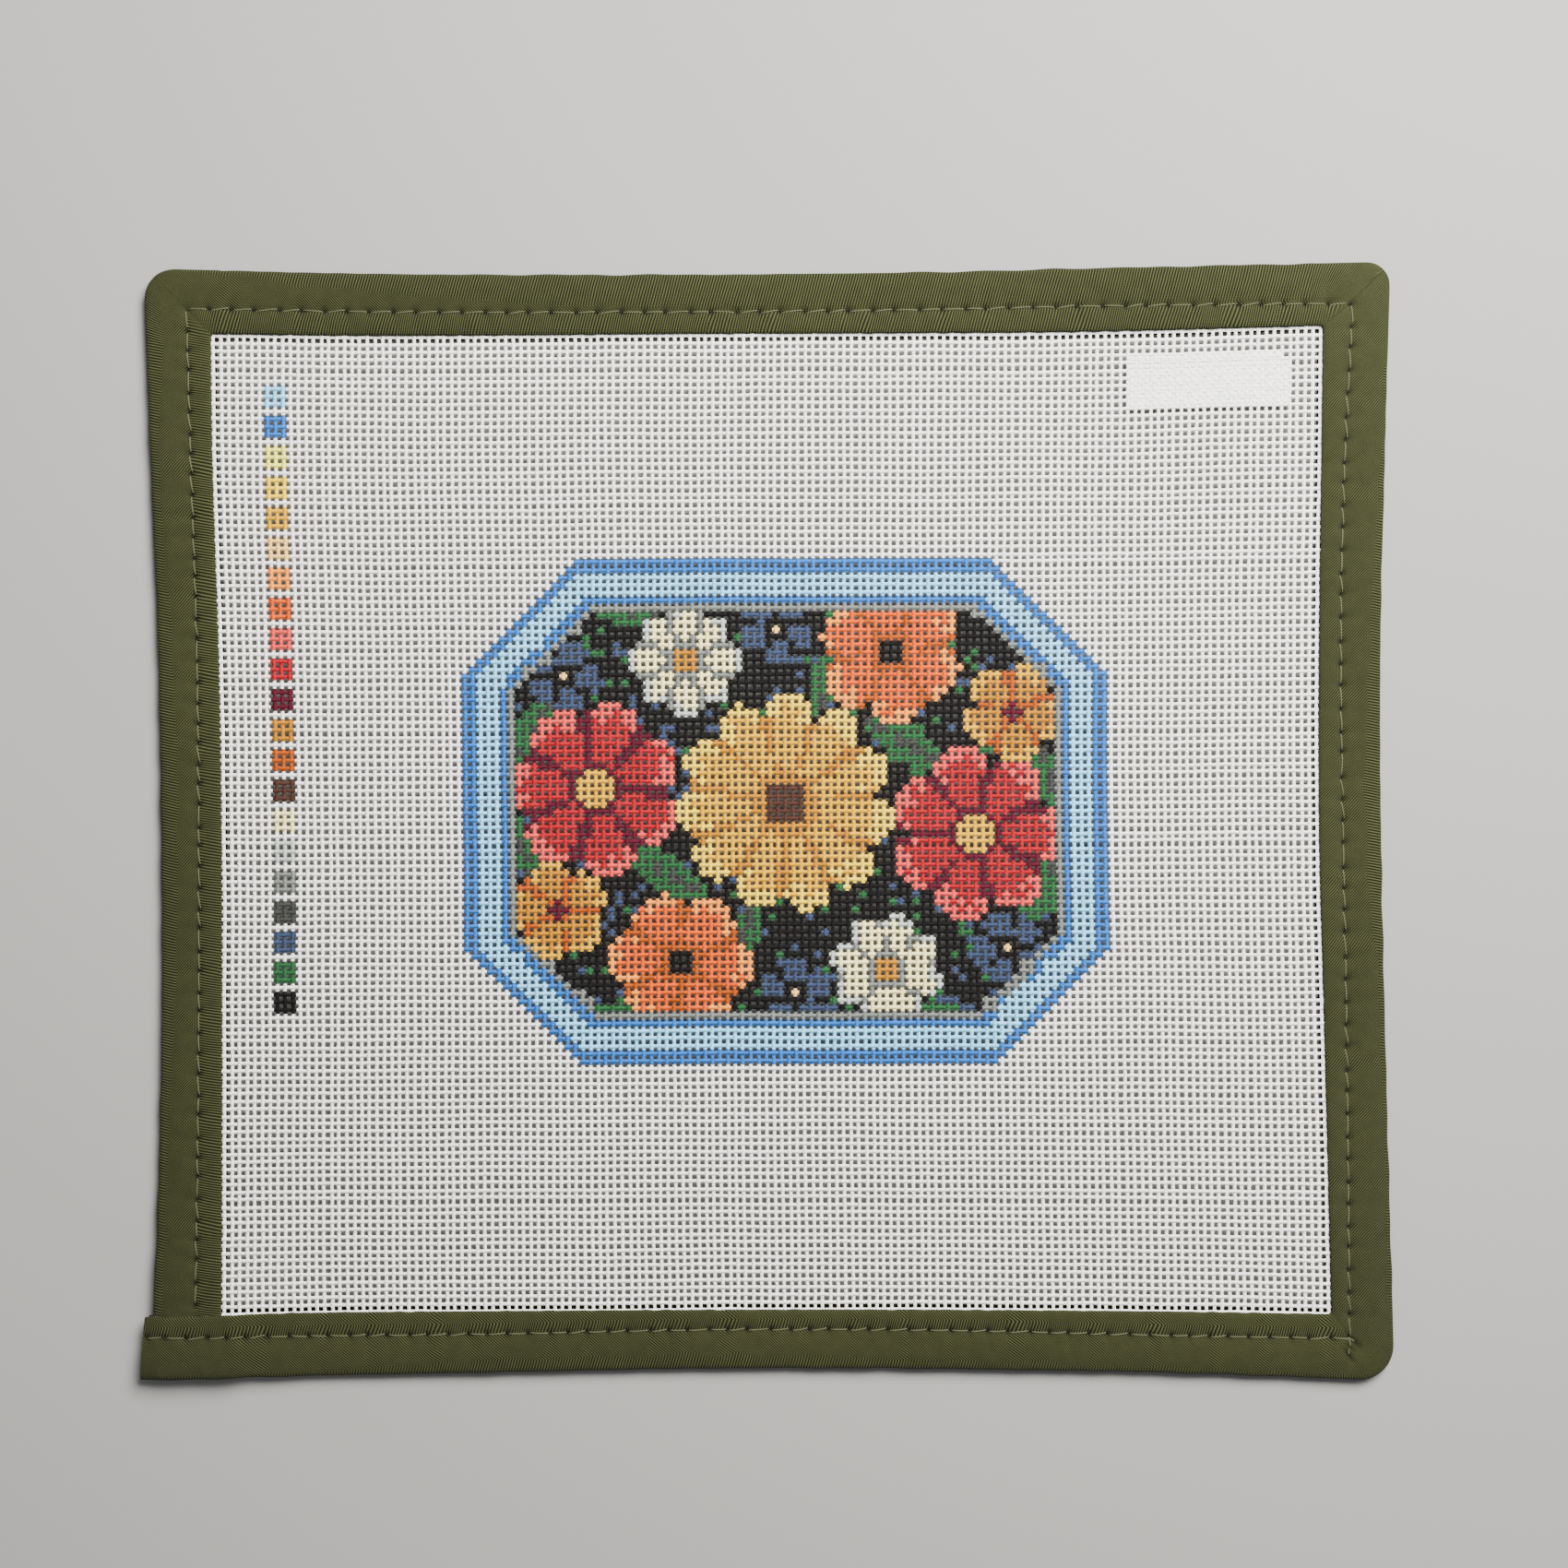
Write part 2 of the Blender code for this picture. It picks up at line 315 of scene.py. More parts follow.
# %% [markdown]
# The tape's cross-section
#
# Across one rib the cloth runs flat under the canvas, round the fold and back over it, puffed
# between fold and stitches and pressed down at the stitches. The section is a table of stations:
# a share of the way from the fold to the stitches, or from them to the inner edge, and a height.
# Both faces of the cloth are made, because the inner one shows at the cut end.

# %% Section tables
Station = namedtuple("Station", "part share height")
UPPER = (
    Station("outer", 0.15, 2.50),
    Station("outer", 0.26, 2.64),
    Station("outer", 0.43, 2.70),
    Station("outer", 0.64, 2.66),
    Station("outer", 0.83, 2.54),
    Station("outer", 0.93, 2.40),
    Station("outer", 1.00, 2.27),
    Station("inner", 0.11, 2.36),
    Station("inner", 0.26, 2.43),
    Station("inner", 0.50, 2.44),
    Station("inner", 0.76, 2.36),
    Station("inner", 0.93, 2.24),
    Station("inner", 1.00, 2.06),
)
UNDER = (
    Station("under", 1.00, 0.0),
    Station("under", 0.30, 0.0),
    Station("under", 0.12, 0.14),
    Station("outer", 1.00, 0.30),
    Station("outer", 0.93, 0.14),
    Station("outer", 0.80, 0.0),
    Station("outer", 0.15, 0.0),
)
FOLD_TURNS = [math.radians(a) for a in (-64, -34, 0, 34, 64)]
LINING_TURNS = [math.radians(a) for a in (50, 0, -50)]
FOLD_SHARE = 0.15
FOLD_SQUARE = 0.72
PIT_DEPTH = 0.5
PIT_WIDE = 0.45


def station_point(rib, station):
    """The plan point of a station on a rib."""
    if station.part == "outer":
        return rib.edge.lerp(rib.seam, station.share)
    return rib.seam.lerp(rib.inner if station.part == "inner" else rib.under, station.share)


def leg_place(leg, point):
    """A point's place along its leg and its distance in from the leg's outer fold."""
    side = SIDES[leg]
    along = point.dot(side.run)
    return along, along_rows(side.rows, LINES["edge"], along) - point.dot(side.out)


def nearest_hole(leg, along):
    """The distance along the leg to the nearest needle hole."""
    return min((abs(along - at) for at in HOLES[leg]), default=9.0)


def needle_pit(rib, point):
    """How much of a needle's pit there is at a point, from 0 to 1 at the hole itself."""
    along, _ = leg_place(rib.leg, point)
    pull = math.hypot(nearest_hole(rib.leg, along), (point - rib.seam).length)
    pull = min(pull, *((point - hole).length for hole in KNOT_HOLES)) / PIT_WIDE
    return math.exp(-pull * pull)


def mitre_mark(rib):
    """How close a rib is to a corner's mitre, from 0 to 1 on the mitre itself."""
    return math.exp(-((rib.fan - 0.5) / 0.16) ** 2) if rib.fan >= 0 else 0.0


def pucker(rib, point, station):
    """The height that the stitches, the mitre and the cloth's own unevenness add on top."""
    along, _ = leg_place(rib.leg, point)
    off_seam = (point - rib.seam).length
    hole = nearest_hole(rib.leg, along)
    height = -PIT_DEPTH * needle_pit(rib, point)
    puff = math.cos(math.pi * max(0.0, 1 - hole / (SIDES[rib.leg].stitch / 2)))
    height += 0.09 * puff * math.exp(-off_seam / 2.2)
    height += 0.12 * noise.noise(Vector((point.x, point.y, 0.0)) * 0.13)
    height += 0.05 * noise.noise(Vector((point.x, point.y, 9.0)) * 0.55)
    if rib.fan >= 0 and station.part == "inner":
        crease = (rib.fan - 0.5) * 24.0
        height -= 0.04 * math.exp(-crease * crease)
    return height


def upper_height(rib, point, station):
    """The height of the tape's upper face at a station."""
    lifted = lap_lift(point) + rib.cover - rib.droop
    return station.height + lifted + pucker(rib, point, station)


def under_height(rib, point, height):
    """The height of the tape's under face, which only its start has lifted."""
    return height + (lap_lift(point) if rib.leg < 3 else 0.0)


def fold_points(rib, turns, wall):
    """Points round the outer fold, a wall's thickness in from its surface."""
    into = (rib.seam - rib.edge).normalized()
    depth = (rib.seam - rib.edge).length * FOLD_SHARE
    centre = rib.edge + into * depth
    low = under_height(rib, centre, wall)
    high = upper_height(rib, centre, UPPER[0]) - wall
    points = []
    for turn in turns:
        spot = centre - into * (depth - wall) * math.cos(turn) ** FOLD_SQUARE
        rise = math.copysign(abs(math.sin(turn)) ** FOLD_SQUARE, turn)
        points.append((spot, (low + high) / 2 + (high - low) / 2 * rise))
    return points


def rib_section(rib):
    """The tape's outline across one rib: plan point, height and share of the cloth's width."""
    section = []
    for station in UNDER:
        point = station_point(rib, station)
        section.append((point, under_height(rib, point, station.height)))
    section += fold_points(rib, FOLD_TURNS, 0.0)
    for station in UPPER:
        point = station_point(rib, station)
        section.append((point, upper_height(rib, point, station)))
    for station in reversed(UPPER[::2]):
        point = station_point(rib, station)
        section.append((point, upper_height(rib, point, station) - TAPE_WALL))
    section += fold_points(rib, LINING_TURNS, TAPE_WALL)
    for station in reversed(UNDER[::3]):
        point = station_point(rib, station)
        section.append((point, under_height(rib, point, station.height + TAPE_WALL)))
    return section


OUTSIDE = len(UNDER) + len(FOLD_TURNS) + len(UPPER)
print("points in a section:", len(rib_section(RIBS[0])), "of them outside:", OUTSIDE)

# %% [markdown]
# Cloth coordinates
#
# Twill has ridges that cross the tape at a slant, and this tape is a herringbone: the slant turns
# over between its bands. The pattern has to follow the cloth round its corners and its fold, so it
# can't come from the object's own coordinates. Each face corner gets a place in the unfolded cloth,
# in a UV map: along the tape and across it. Both legs of a corner keep their own direction up to
# the mitre, as folded cloth does, but the outermost band runs round with the fold. So each point
# also keeps its place along the fold, and where the bands turn there.

# %% Cloth coordinates for a point
FOLD_ARC = 1.1


def tape_runs():
    """Each rib's place along the outer fold, and what each leg adds to its own along."""
    runs, shifts = [], {}
    before = None
    for rib in RIBS:
        along = rib.edge.dot(SIDES[rib.leg].run)
        step = (rib.edge - before.edge).length if before else 0.0
        place = (runs[-1] if runs else along) + step
        if rib.fan < 0:
            shifts.setdefault(rib.leg, place - along)
            place = along + shifts[rib.leg]
        runs.append(place)
        before = rib
    return runs, shifts


RUNS, LEG_SHIFTS = tape_runs()


def cloth_place(leg, point, below):
    """The place in the unfolded cloth: along the leg and across it from the fold, in millimetres."""
    along, inset = leg_place(leg, point)
    across = inset + FOLD_ARC
    return along + LEG_SHIFTS[leg], -across if below else across


def band_edges(leg, point):
    """The distances across the cloth at which the twill turns, at a point's place along its leg."""
    along, _ = leg_place(leg, point)
    rows = SIDES[leg].rows
    band = along_rows(rows, lambda row: row.band, along)
    return band + FOLD_ARC, along_rows(rows, lambda row: row.seam, along) + FOLD_ARC


print("length of the tape in mm:", round(RUNS[-1] - RUNS[0]))

# %% Skin the tape
LEG_LENGTH = 240.0
LINING_SHARE = 0.12


def sheet_rows(count, outside):
    """How far down its strip of the picture each point of a section lies, from 0 to 1."""
    rows = []
    for i in range(count + 1):
        inside = max(0, i - outside + 1) / (count - outside + 1)
        rows.append((1 - LINING_SHARE) * min(i, outside - 1) / (outside - 1) + LINING_SHARE * inside)
    return rows


def skin_tape():
    """The tape's mesh, with its cloth coordinates and a flat layout of its four legs."""
    bm = bmesh.new()
    twill = bm.loops.layers.uv.new("twill")
    layout = bm.loops.layers.uv.new("OFBake")
    pit_shade = bm.verts.layers.float.new("pit_shade")
    fold_run = bm.verts.layers.float.new("fold_run")
    band_edge = bm.verts.layers.float.new("band_edge")
    seam_edge = bm.verts.layers.float.new("seam_edge")
    mitre = bm.verts.layers.float.new("mitre")
    slopes = bm.faces.layers.float_color.new("slopes")
    sections = [rib_section(rib) for rib in RIBS]
    loops = [[bm.verts.new(Vector((*p, z)) * MM) for p, z in s] for s in sections]
    for rib, run, section, loop in zip(RIBS, RUNS, sections, loops):
        for i, ((point, _), vert) in enumerate(zip(section, loop)):
            # This value is used to paint shade into the tape's colour at the needle holes.
            vert[pit_shade] = needle_pit(rib, point) if i < OUTSIDE else 0.0
            vert[fold_run] = run
            vert[mitre] = mitre_mark(rib)
            vert[band_edge], vert[seam_edge] = band_edges(rib.leg, point)
    count = len(sections[0])
    rows = sheet_rows(count, OUTSIDE)
    fold_middle = len(UNDER) + len(FOLD_TURNS) // 2
    lining_middle = OUTSIDE + len(UPPER[::2]) + 1

    def place_corner(loop, rib, leg, i, section):
        point = section[i % count][0]
        below = i < fold_middle or i > lining_middle
        loop[twill].uv = cloth_place(leg, point, below)
        along = point.dot(SIDES[leg].run) / LEG_LENGTH + 0.5
        loop[layout].uv = (along, (leg + 0.02 + 0.96 * rows[i]) / 4)

    for k, (first, second) in enumerate(zip(loops, loops[1:])):
        leg = RIBS[k + 1].leg
        for i in range(count):
            j = i + 1
            quad = (first[i], first[j % count], second[j % count], second[i])
            face = bm.faces.new(quad)
            face[slopes] = SIDES[leg].slopes
            for loop, rib_at, at in zip(face.loops, (k, k, k + 1, k + 1), (i, j, j, i)):
                place_corner(loop, RIBS[rib_at], leg, at, sections[rib_at])
    for k, order in ((0, 1), (len(loops) - 1, -1)):
        cap = bm.faces.new(loops[k][::order])
        cap[slopes] = SIDES[RIBS[k].leg].slopes
        for loop, at in zip(cap.loops, range(count)[::order]):
            place_corner(loop, RIBS[k], RIBS[k].leg, at, sections[k])
    bmesh.ops.recalc_face_normals(bm, faces=bm.faces)
    return bm


def finish_mesh(name, bm):
    """An object from a finished mesh, smooth but for its sharp edges."""
    mesh = bpy.data.meshes.new(name)
    bm.to_mesh(mesh)
    bm.free()
    mesh.shade_smooth()
    obj = bpy.data.objects.new(name, mesh)
    bpy.context.collection.objects.link(obj)
    return obj


tape = finish_mesh("folded_tape", skin_tape())
tape.data.set_sharp_from_angle(angle=math.radians(75))
print("tape triangles:", 2 * len(tape.data.polygons))

# %% [markdown]
# The crossings of the canvas
#
# Mono canvas is a plain weave: single threads over and under each other at an even pitch, starched
# so they stay put. The threads could be a texture with holes cut by its alpha, but the holes are
# what a stitcher looks through, so they are real here. The weave is charted first as a list of
# crossings, stretched between the tape's inner edges with the small wander of a real cloth.

# %% Chart the crossings
COLUMNS = 145
ROWS = 130
COLUMN_ENDS = (0.25, 0.25)
ROW_ENDS = (-0.1, 0.2)
CANVAS_MIDDLE = 1.38
CUT_EDGE = 9.8
THREAD_OFF = 0.045
CLOTH_WAVE = 0.14
CROSSING_OFF = 0.022
PITCH_SPAN = 100


def window_place(across, up):
    """A plan point of the open canvas, both shares 0 to 1 from its bottom left corner."""
    x, y = 0.0, 0.0
    for _ in range(4):
        left = on_side(LEFT, "inner", y).x
        right = on_side(RIGHT, "inner", -y).x
        low = on_side(BOTTOM, "inner", -x).y
        high = on_side(TOP, "inner", x).y
        x, y = left + (right - left) * across, low + (high - low) * up
    return Vector((x, y))


def thread_share(index, count, ends):
    """The share of the window's width or height at which a thread runs, with what is left at its ends."""
    return (index + ends[0]) / (count - 1 + sum(ends))


def chart_crossings():
    """Every crossing's plan point, with each thread's wander and each crossing's own."""
    chance = random.Random(18)
    # Without a seed, noise_vector starts from the clock and the cloth differs on each run.
    noise.seed_set(18)
    column_off = [chance.gauss(0, THREAD_OFF) for _ in range(COLUMNS)]
    row_off = [chance.gauss(0, THREAD_OFF) for _ in range(ROWS)]
    chart = []
    for row in range(ROWS):
        line = []
        for column in range(COLUMNS):
            across = thread_share(column, COLUMNS, COLUMN_ENDS)
            point = window_place(across, thread_share(row, ROWS, ROW_ENDS))
            wave = noise.noise_vector(Vector((point.x, point.y, 0.0)) * 0.05)
            wave += noise.noise_vector(Vector((point.x, point.y, 5.0)) * 0.35) * 0.5
            point.x += column_off[column] + CLOTH_WAVE * wave.x + chance.gauss(0, CROSSING_OFF)
            point.y += row_off[row] + CLOTH_WAVE * wave.y + chance.gauss(0, CROSSING_OFF)
            line.append(point)
        chart.append(line)
    return chart


CHART = chart_crossings()
MIDDLE_ROW = CHART[ROWS // 2]
PITCH = (MIDDLE_ROW[PITCH_SPAN] - MIDDLE_ROW[0]).length / PITCH_SPAN
print("crossings:", COLUMNS * ROWS, "pitch in mm:", round(PITCH, 3))

# %% [markdown]
# Paints
#
# The canvas is painted by hand, crossing by crossing, in one set of paints. A column of small
# squares down its left side is the key to them. The paints are named once, here, and both the key
# and the picture use the names, so they always agree. A paint's numbers are the shares of red,
# green and blue light that it gives back.

# %% Mix the paints
PAINTS = {
    "light blue": (0.22, 0.60, 0.88),
    "mid blue": (0.022, 0.125, 0.42),
    "pale yellow": (0.90, 0.84, 0.12),
    "yellow": (0.85, 0.57, 0.02),
    "golden yellow": (0.64, 0.32, 0.006),
    "peach": (0.90, 0.55, 0.17),
    "light orange": (0.85, 0.25, 0.025),
    "orange": (0.60, 0.078, 0.006),
    "coral": (0.66, 0.055, 0.05),
    "red": (0.32, 0.009, 0.016),
    "maroon": (0.070, 0.007, 0.016),
    "ochre": (0.42, 0.165, 0.008),
    "rust": (0.34, 0.062, 0.007),
    "brown": (0.052, 0.023, 0.016),
    "cream": (0.92, 0.80, 0.38),
    "pale grey": (0.43, 0.47, 0.44),
    "grey": (0.16, 0.17, 0.155),
    "dark grey": (0.036, 0.039, 0.035),
    "slate blue": (0.033, 0.047, 0.095),
    "green": (0.017, 0.085, 0.028),
    "near black": (0.0065, 0.006, 0.006),
}
WHITE = (0.90, 0.89, 0.85)
print("paints in the set:", len(PAINTS))

# %% [markdown]
# The painted picture
#
# The picture in the middle is this lesson's own: an ordinary bed of garden flowers in a blue and
# grey frame, on a dark ground. It could be drawn as an image and read pixel by pixel. A counted
# picture is better as rules: each flower is one row of a table, and a rule says which paint of that
# flower lies on a crossing. A little chance breaks up the flat areas as a brush does.

# %% Flowers, leaves and frame
PICTURE_COLUMN = 74
PICTURE_ROW = 66
FRAME_WIDE = 42
FRAME_HIGH = 33
FRAME_CUT = 60
Flower = namedtuple("Flower", "across up size petals turn tip body fold heart")
FLOWERS = (
    Flower(0, 1, 14.5, 11, 0.2, "yellow", "golden yellow", "ochre", "brown"),
    Flower(-25, 3, 11.5, 7, 0.5, "coral", "red", "maroon", "golden yellow"),
    Flower(25, -3, 11.5, 7, 0.9, "coral", "red", "maroon", "golden yellow"),
    Flower(-14, -20, 9.5, 6, 0.1, "light orange", "orange", "rust", "near black"),
    Flower(14, 21, 9.5, 6, 0.4, "light orange", "orange", "rust", "near black"),
    Flower(-13, 20, 7.5, 8, 0.0, "pale grey", "cream", "grey", "ochre"),
    Flower(13, -21, 7.5, 8, 0.3, "pale grey", "cream", "grey", "ochre"),
    Flower(30, 13, 6.5, 5, 0.2, "golden yellow", "ochre", "rust", "maroon"),
    Flower(-30, -13, 6.5, 5, 0.7, "golden yellow", "ochre", "rust", "maroon"),
    Flower(-1, 24, 5.0, 5, 0.3, "slate blue", "slate blue", "near black", "peach"),
    Flower(1, -24, 5.0, 5, 0.9, "slate blue", "slate blue", "near black", "peach"),
    Flower(29, -18, 5.0, 5, 0.5, "slate blue", "slate blue", "near black", "peach"),
    Flower(-29, 18, 5.0, 5, 0.1, "slate blue", "slate blue", "near black", "peach"),
)
Leaf = namedtuple("Leaf", "across up length width turn")
LEAVES = (
    Leaf(-34, 9, 8, 2.6, 60), Leaf(34, -9, 8, 2.6, 60), Leaf(-16, -8, 7, 2.4, 150),
    Leaf(16, 9, 7, 2.4, 150), Leaf(-21, -27, 8, 2.2, 10), Leaf(21, 28, 8, 2.2, 10),
    Leaf(-6, -17, 6, 2.0, 70), Leaf(6, 18, 6, 2.0, 70), Leaf(-22, 27, 7, 2.0, 165),
    Leaf(22, -28, 7, 2.0, 165), Leaf(35, 4, 6, 2.0, 110), Leaf(-35, -4, 6, 2.0, 110),
)


def flower_paint(flower, across, up, dab):
    """The paint that a flower puts on a crossing, or nothing outside it."""
    right, above = across - flower.across, up - flower.up
    reach = math.hypot(right, above) / flower.size
    if reach > 1:
        return None
    angle = math.atan2(above, right) + flower.turn
    petal = abs(math.cos(flower.petals * angle / 2))
    edge = 0.76 + 0.24 * petal ** 0.5
    if reach > edge:
        return None
    if reach < 0.2:
        return flower.heart
    if reach < 0.3:
        return flower.fold
    if petal < 0.28 + 0.15 * dab:
        return flower.fold
    if reach > edge - 0.26 + 0.2 * dab:
        return flower.tip
    return flower.body


def leaf_paint(leaf, across, up, dab):
    """The paint that a leaf puts on a crossing, or nothing outside it."""
    turn = math.radians(leaf.turn)
    right, above = across - leaf.across, up - leaf.up
    down_leaf = right * math.cos(turn) + above * math.sin(turn)
    off_leaf = above * math.cos(turn) - right * math.sin(turn)
    reach = abs(down_leaf) / leaf.length
    if reach > 1 or abs(off_leaf) > leaf.width * (1 - reach * reach):
        return None
    return "dark grey" if abs(off_leaf) < 0.5 and dab > 0.35 else "green"


def frame_depth(across, up):
    """How many crossings a place lies inside the frame's edge, a stretched eight-sided line."""
    across, up = abs(across), abs(up)
    return min(FRAME_WIDE - across, FRAME_HIGH - up, (FRAME_CUT - across - up) * 0.75)


def picture_paint(across, up, dab):
    """The paint of the picture on a crossing, counted from the picture's middle."""
    depth = frame_depth(across, up)
    if depth < 0:
        return None
    for limit, paint in ((1.2, "mid blue"), (4.4, "light blue"), (5.4, "mid blue"), (6.6, "grey")):
        if depth < limit + 0.4 * (dab - 0.5):
            return paint
    for flower in FLOWERS:
        paint = flower_paint(flower, across, up, dab)
        if paint:
            return paint
    for leaf in LEAVES:
        paint = leaf_paint(leaf, across, up, dab)
        if paint:
            return paint
    return "green" if dab > 0.93 else "slate blue" if dab > 0.82 else "near black"


# %% The colour key and the whole chart of paint
KEY_COLUMN = 7
KEY_TOP_ROW = ROWS - 8
KEY_STEP = 4
KEY_WIDE = 3


def paint_at(column, row, dab):
    """The name of the paint on a crossing, or nothing where the canvas is bare."""
    down = KEY_TOP_ROW - row
    names = list(PAINTS)
    in_key = KEY_COLUMN <= column < KEY_COLUMN + KEY_WIDE
    if in_key and 0 <= down < KEY_STEP * len(names) and down % KEY_STEP < KEY_WIDE:
        return names[down // KEY_STEP]
    return picture_paint(column - PICTURE_COLUMN, row - PICTURE_ROW, dab)


def chart_paint():
    """A colour with its cover in the last place, for each crossing."""
    chance = random.Random(7)
    chart = []
    for row in range(ROWS):
        line = []
        for column in range(COLUMNS):
            name = paint_at(column, row, chance.random())
            tone = 1 + chance.uniform(-0.10, 0.10)
            if name:
                line.append((*(min(c * tone, 0.93) for c in PAINTS[name]), 1.0))
            else:
                line.append((*(c * (1 + 0.2 * (tone - 1)) for c in WHITE), 0.0))
        chart.append(line)
    return chart


PAINT_CHART = chart_paint()
print("painted crossings:", sum(cell[3] > 0 for line in PAINT_CHART for cell in line))

# %% [markdown]
# A helper for node trees
#
# Geometry and materials are both node trees, and a tree written out in code soon hides its idea
# among links. One helper adds a node, sets its choices and fills its inputs. An input given as a
# socket is linked, and any other value is set.

# %% Add nodes in one line


def add_node(tree, kind, choices=None, inputs=None):
    """A node with its choices set, and its inputs set or linked by name or by place."""
    node = tree.nodes.new(kind)
    for name, value in (choices or {}).items():
        setattr(node, name, value)
    for name, value in (inputs or {}).items():
        if isinstance(value, bpy.types.NodeSocket):
            tree.links.new(value, node.inputs[name])
        else:
            node.inputs[name].default_value = value
    return node


def maths(tree, operation, first, second=0.0, third=0.0):
    """The result socket of one sum."""
    node = add_node(tree, "ShaderNodeMath", {"operation": operation}, {0: first, 1: second, 2: third})
    return node.outputs[0]


def new_group(name, kind, sockets):
    """A node group with its sockets, its input node and its output node."""
    tree = bpy.data.node_groups.new(name, kind)
    for socket_name, way, socket_kind, value in sockets:
        socket = tree.interface.new_socket(socket_name, in_out=way, socket_type=socket_kind)
        if value is not None:
            socket.default_value = value
    return tree, tree.nodes.new("NodeGroupInput"), tree.nodes.new("NodeGroupOutput")


def apply_tree(obj, tree, values):
    """The object's evaluated mesh as a plain object, with the tree's named inputs set first."""
    modifier = obj.modifiers.new(tree.name, "NODES")
    modifier.node_group = tree
    for item in tree.interface.items_tree:
        if item.item_type == "SOCKET" and item.in_out == "INPUT" and item.name in values:
            modifier[item.identifier] = values[item.name]
    bpy.context.view_layer.update()
    evaluated = obj.evaluated_get(bpy.context.evaluated_depsgraph_get())
    mesh = bpy.data.meshes.new_from_object(evaluated)
    obj.modifiers.clear()
    name = obj.name
    bpy.data.objects.remove(obj)
    mesh.name = name
    made = bpy.data.objects.new(name, mesh)
    bpy.context.collection.objects.link(made)
    return made


# %% [markdown]
# Yarn and paint
#
# Cotton is never one flat colour: each yarn is a little lighter or darker, and has fuzz. Three
# finishes here are cotton, and the filling paint lies over cotton, so the effect is one shader
# group, used by each with its own scale. The group gives a shade to multiply by and a height for
# the bump, and nothing else.

# %% The cotton group


def make_cotton_group():
    """Shade and height of cotton yarn over the surface."""
    tree, given, result = new_group("cotton yarn", "ShaderNodeTree", (
        ("Vector", "INPUT", "NodeSocketVector", None),
        ("Scale", "INPUT", "NodeSocketFloat", 2000.0),
        ("Contrast", "INPUT", "NodeSocketFloat", 0.1),
        ("Shade", "OUTPUT", "NodeSocketFloat", None),
        ("Height", "OUTPUT", "NodeSocketFloat", None),
    ))
    fine = add_node(tree, "ShaderNodeTexNoise", None, {
        "Vector": given.outputs["Vector"],
        "Scale": given.outputs["Scale"],
        "Detail": 3.0,
    })
    slow_scale = maths(tree, "MULTIPLY", given.outputs["Scale"], 0.04)
    slow = add_node(tree, "ShaderNodeTexNoise", None, {
        "Vector": given.outputs["Vector"],
        "Scale": slow_scale,
        "Detail": 2.0,
    })
    both = maths(tree, "ADD", fine.outputs["Fac"], slow.outputs["Fac"])
    centred = maths(tree, "SUBTRACT", both, 1.0)
    spread = maths(tree, "MULTIPLY", centred, given.outputs["Contrast"])
    shade = maths(tree, "MULTIPLY_ADD", spread, 2.0, 1.0)
    tree.links.new(shade, result.inputs["Shade"])
    tree.links.new(fine.outputs["Fac"], result.inputs["Height"])
    return tree


COTTON = make_cotton_group()
SHINE = 0.12


def new_material(name, roughness):
    """A material with its tree and its shader."""
    material = bpy.data.materials.new(name)
    material.use_nodes = True
    shader = material.node_tree.nodes["Principled BSDF"]
    shader.inputs["Roughness"].default_value = roughness
    shader.inputs["Specular IOR Level"].default_value = SHINE
    return material, material.node_tree, shader


def cotton_in(tree, scale, contrast):
    """The cotton group in a material, on the object's own coordinates."""
    place = add_node(tree, "ShaderNodeTexCoord")
    return add_node(tree, "ShaderNodeGroup", {"node_tree": COTTON}, {
        "Vector": place.outputs["Object"],
        "Scale": scale,
        "Contrast": contrast,
    })


def tinted(tree, colour, shade):
    """A colour multiplied by a shade."""
    node = add_node(tree, "ShaderNodeVectorMath", {"operation": "SCALE"}, {0: colour, "Scale": shade})
    return node.outputs[0]


def bump_from(tree, shader, height, distance, strength):
    """A bump on the shader from a height."""
    bump = add_node(tree, "ShaderNodeBump", None, {
        "Height": height,
        "Distance": distance,
        "Strength": strength,
    })
    tree.links.new(bump.outputs["Normal"], shader.inputs["Normal"])


# %% Canvas thread and its paint
PLY_PITCH = 0.0016


def make_canvas_material():
    """White starched cotton, and the matt paint that a crossing's colour puts over it."""
    material, tree, shader = new_material("painted canvas thread", 0.75)
    paint = add_node(tree, "ShaderNodeAttribute", {"attribute_name": "paint"})
    cotton = cotton_in(tree, 2600.0, 0.07)
    along = add_node(tree, "ShaderNodeAttribute", {"attribute_name": "along"})
    around = add_node(tree, "ShaderNodeAttribute", {"attribute_name": "around"})
    turns = maths(tree, "MULTIPLY_ADD", along.outputs["Fac"], 1 / PLY_PITCH, around.outputs["Fac"])
    plies = maths(tree, "ABSOLUTE", maths(tree, "SINE", maths(tree, "MULTIPLY", turns, math.tau)))
    height = maths(tree, "MULTIPLY_ADD", cotton.outputs["Height"], 0.6, plies)
    # The grooves between the plies are painted a little darker than their crowns: painted shade.
    shade = maths(tree, "MULTIPLY_ADD", plies, 0.10, 0.92)
    colour = tinted(tree, paint.outputs["Color"], maths(tree, "MULTIPLY", shade, cotton.outputs["Shade"]))
    tree.links.new(colour, shader.inputs["Base Color"])
    shader.inputs["Specular IOR Level"].default_value = 0.06
    bump_from(tree, shader, height, 0.00008, 0.6)
    return material


def make_fill_material():
    """Thick white paint that fills holes of the mesh."""
    material, tree, shader = new_material("white filling paint", 0.5)
    cotton = cotton_in(tree, 900.0, 0.05)
    colour = tinted(tree, (0.92, 0.91, 0.88), cotton.outputs["Shade"])
    tree.links.new(colour, shader.inputs["Base Color"])
    bump_from(tree, shader, cotton.outputs["Height"], 0.00005, 0.4)
    return material


canvas_material = make_canvas_material()
fill_material = make_fill_material()

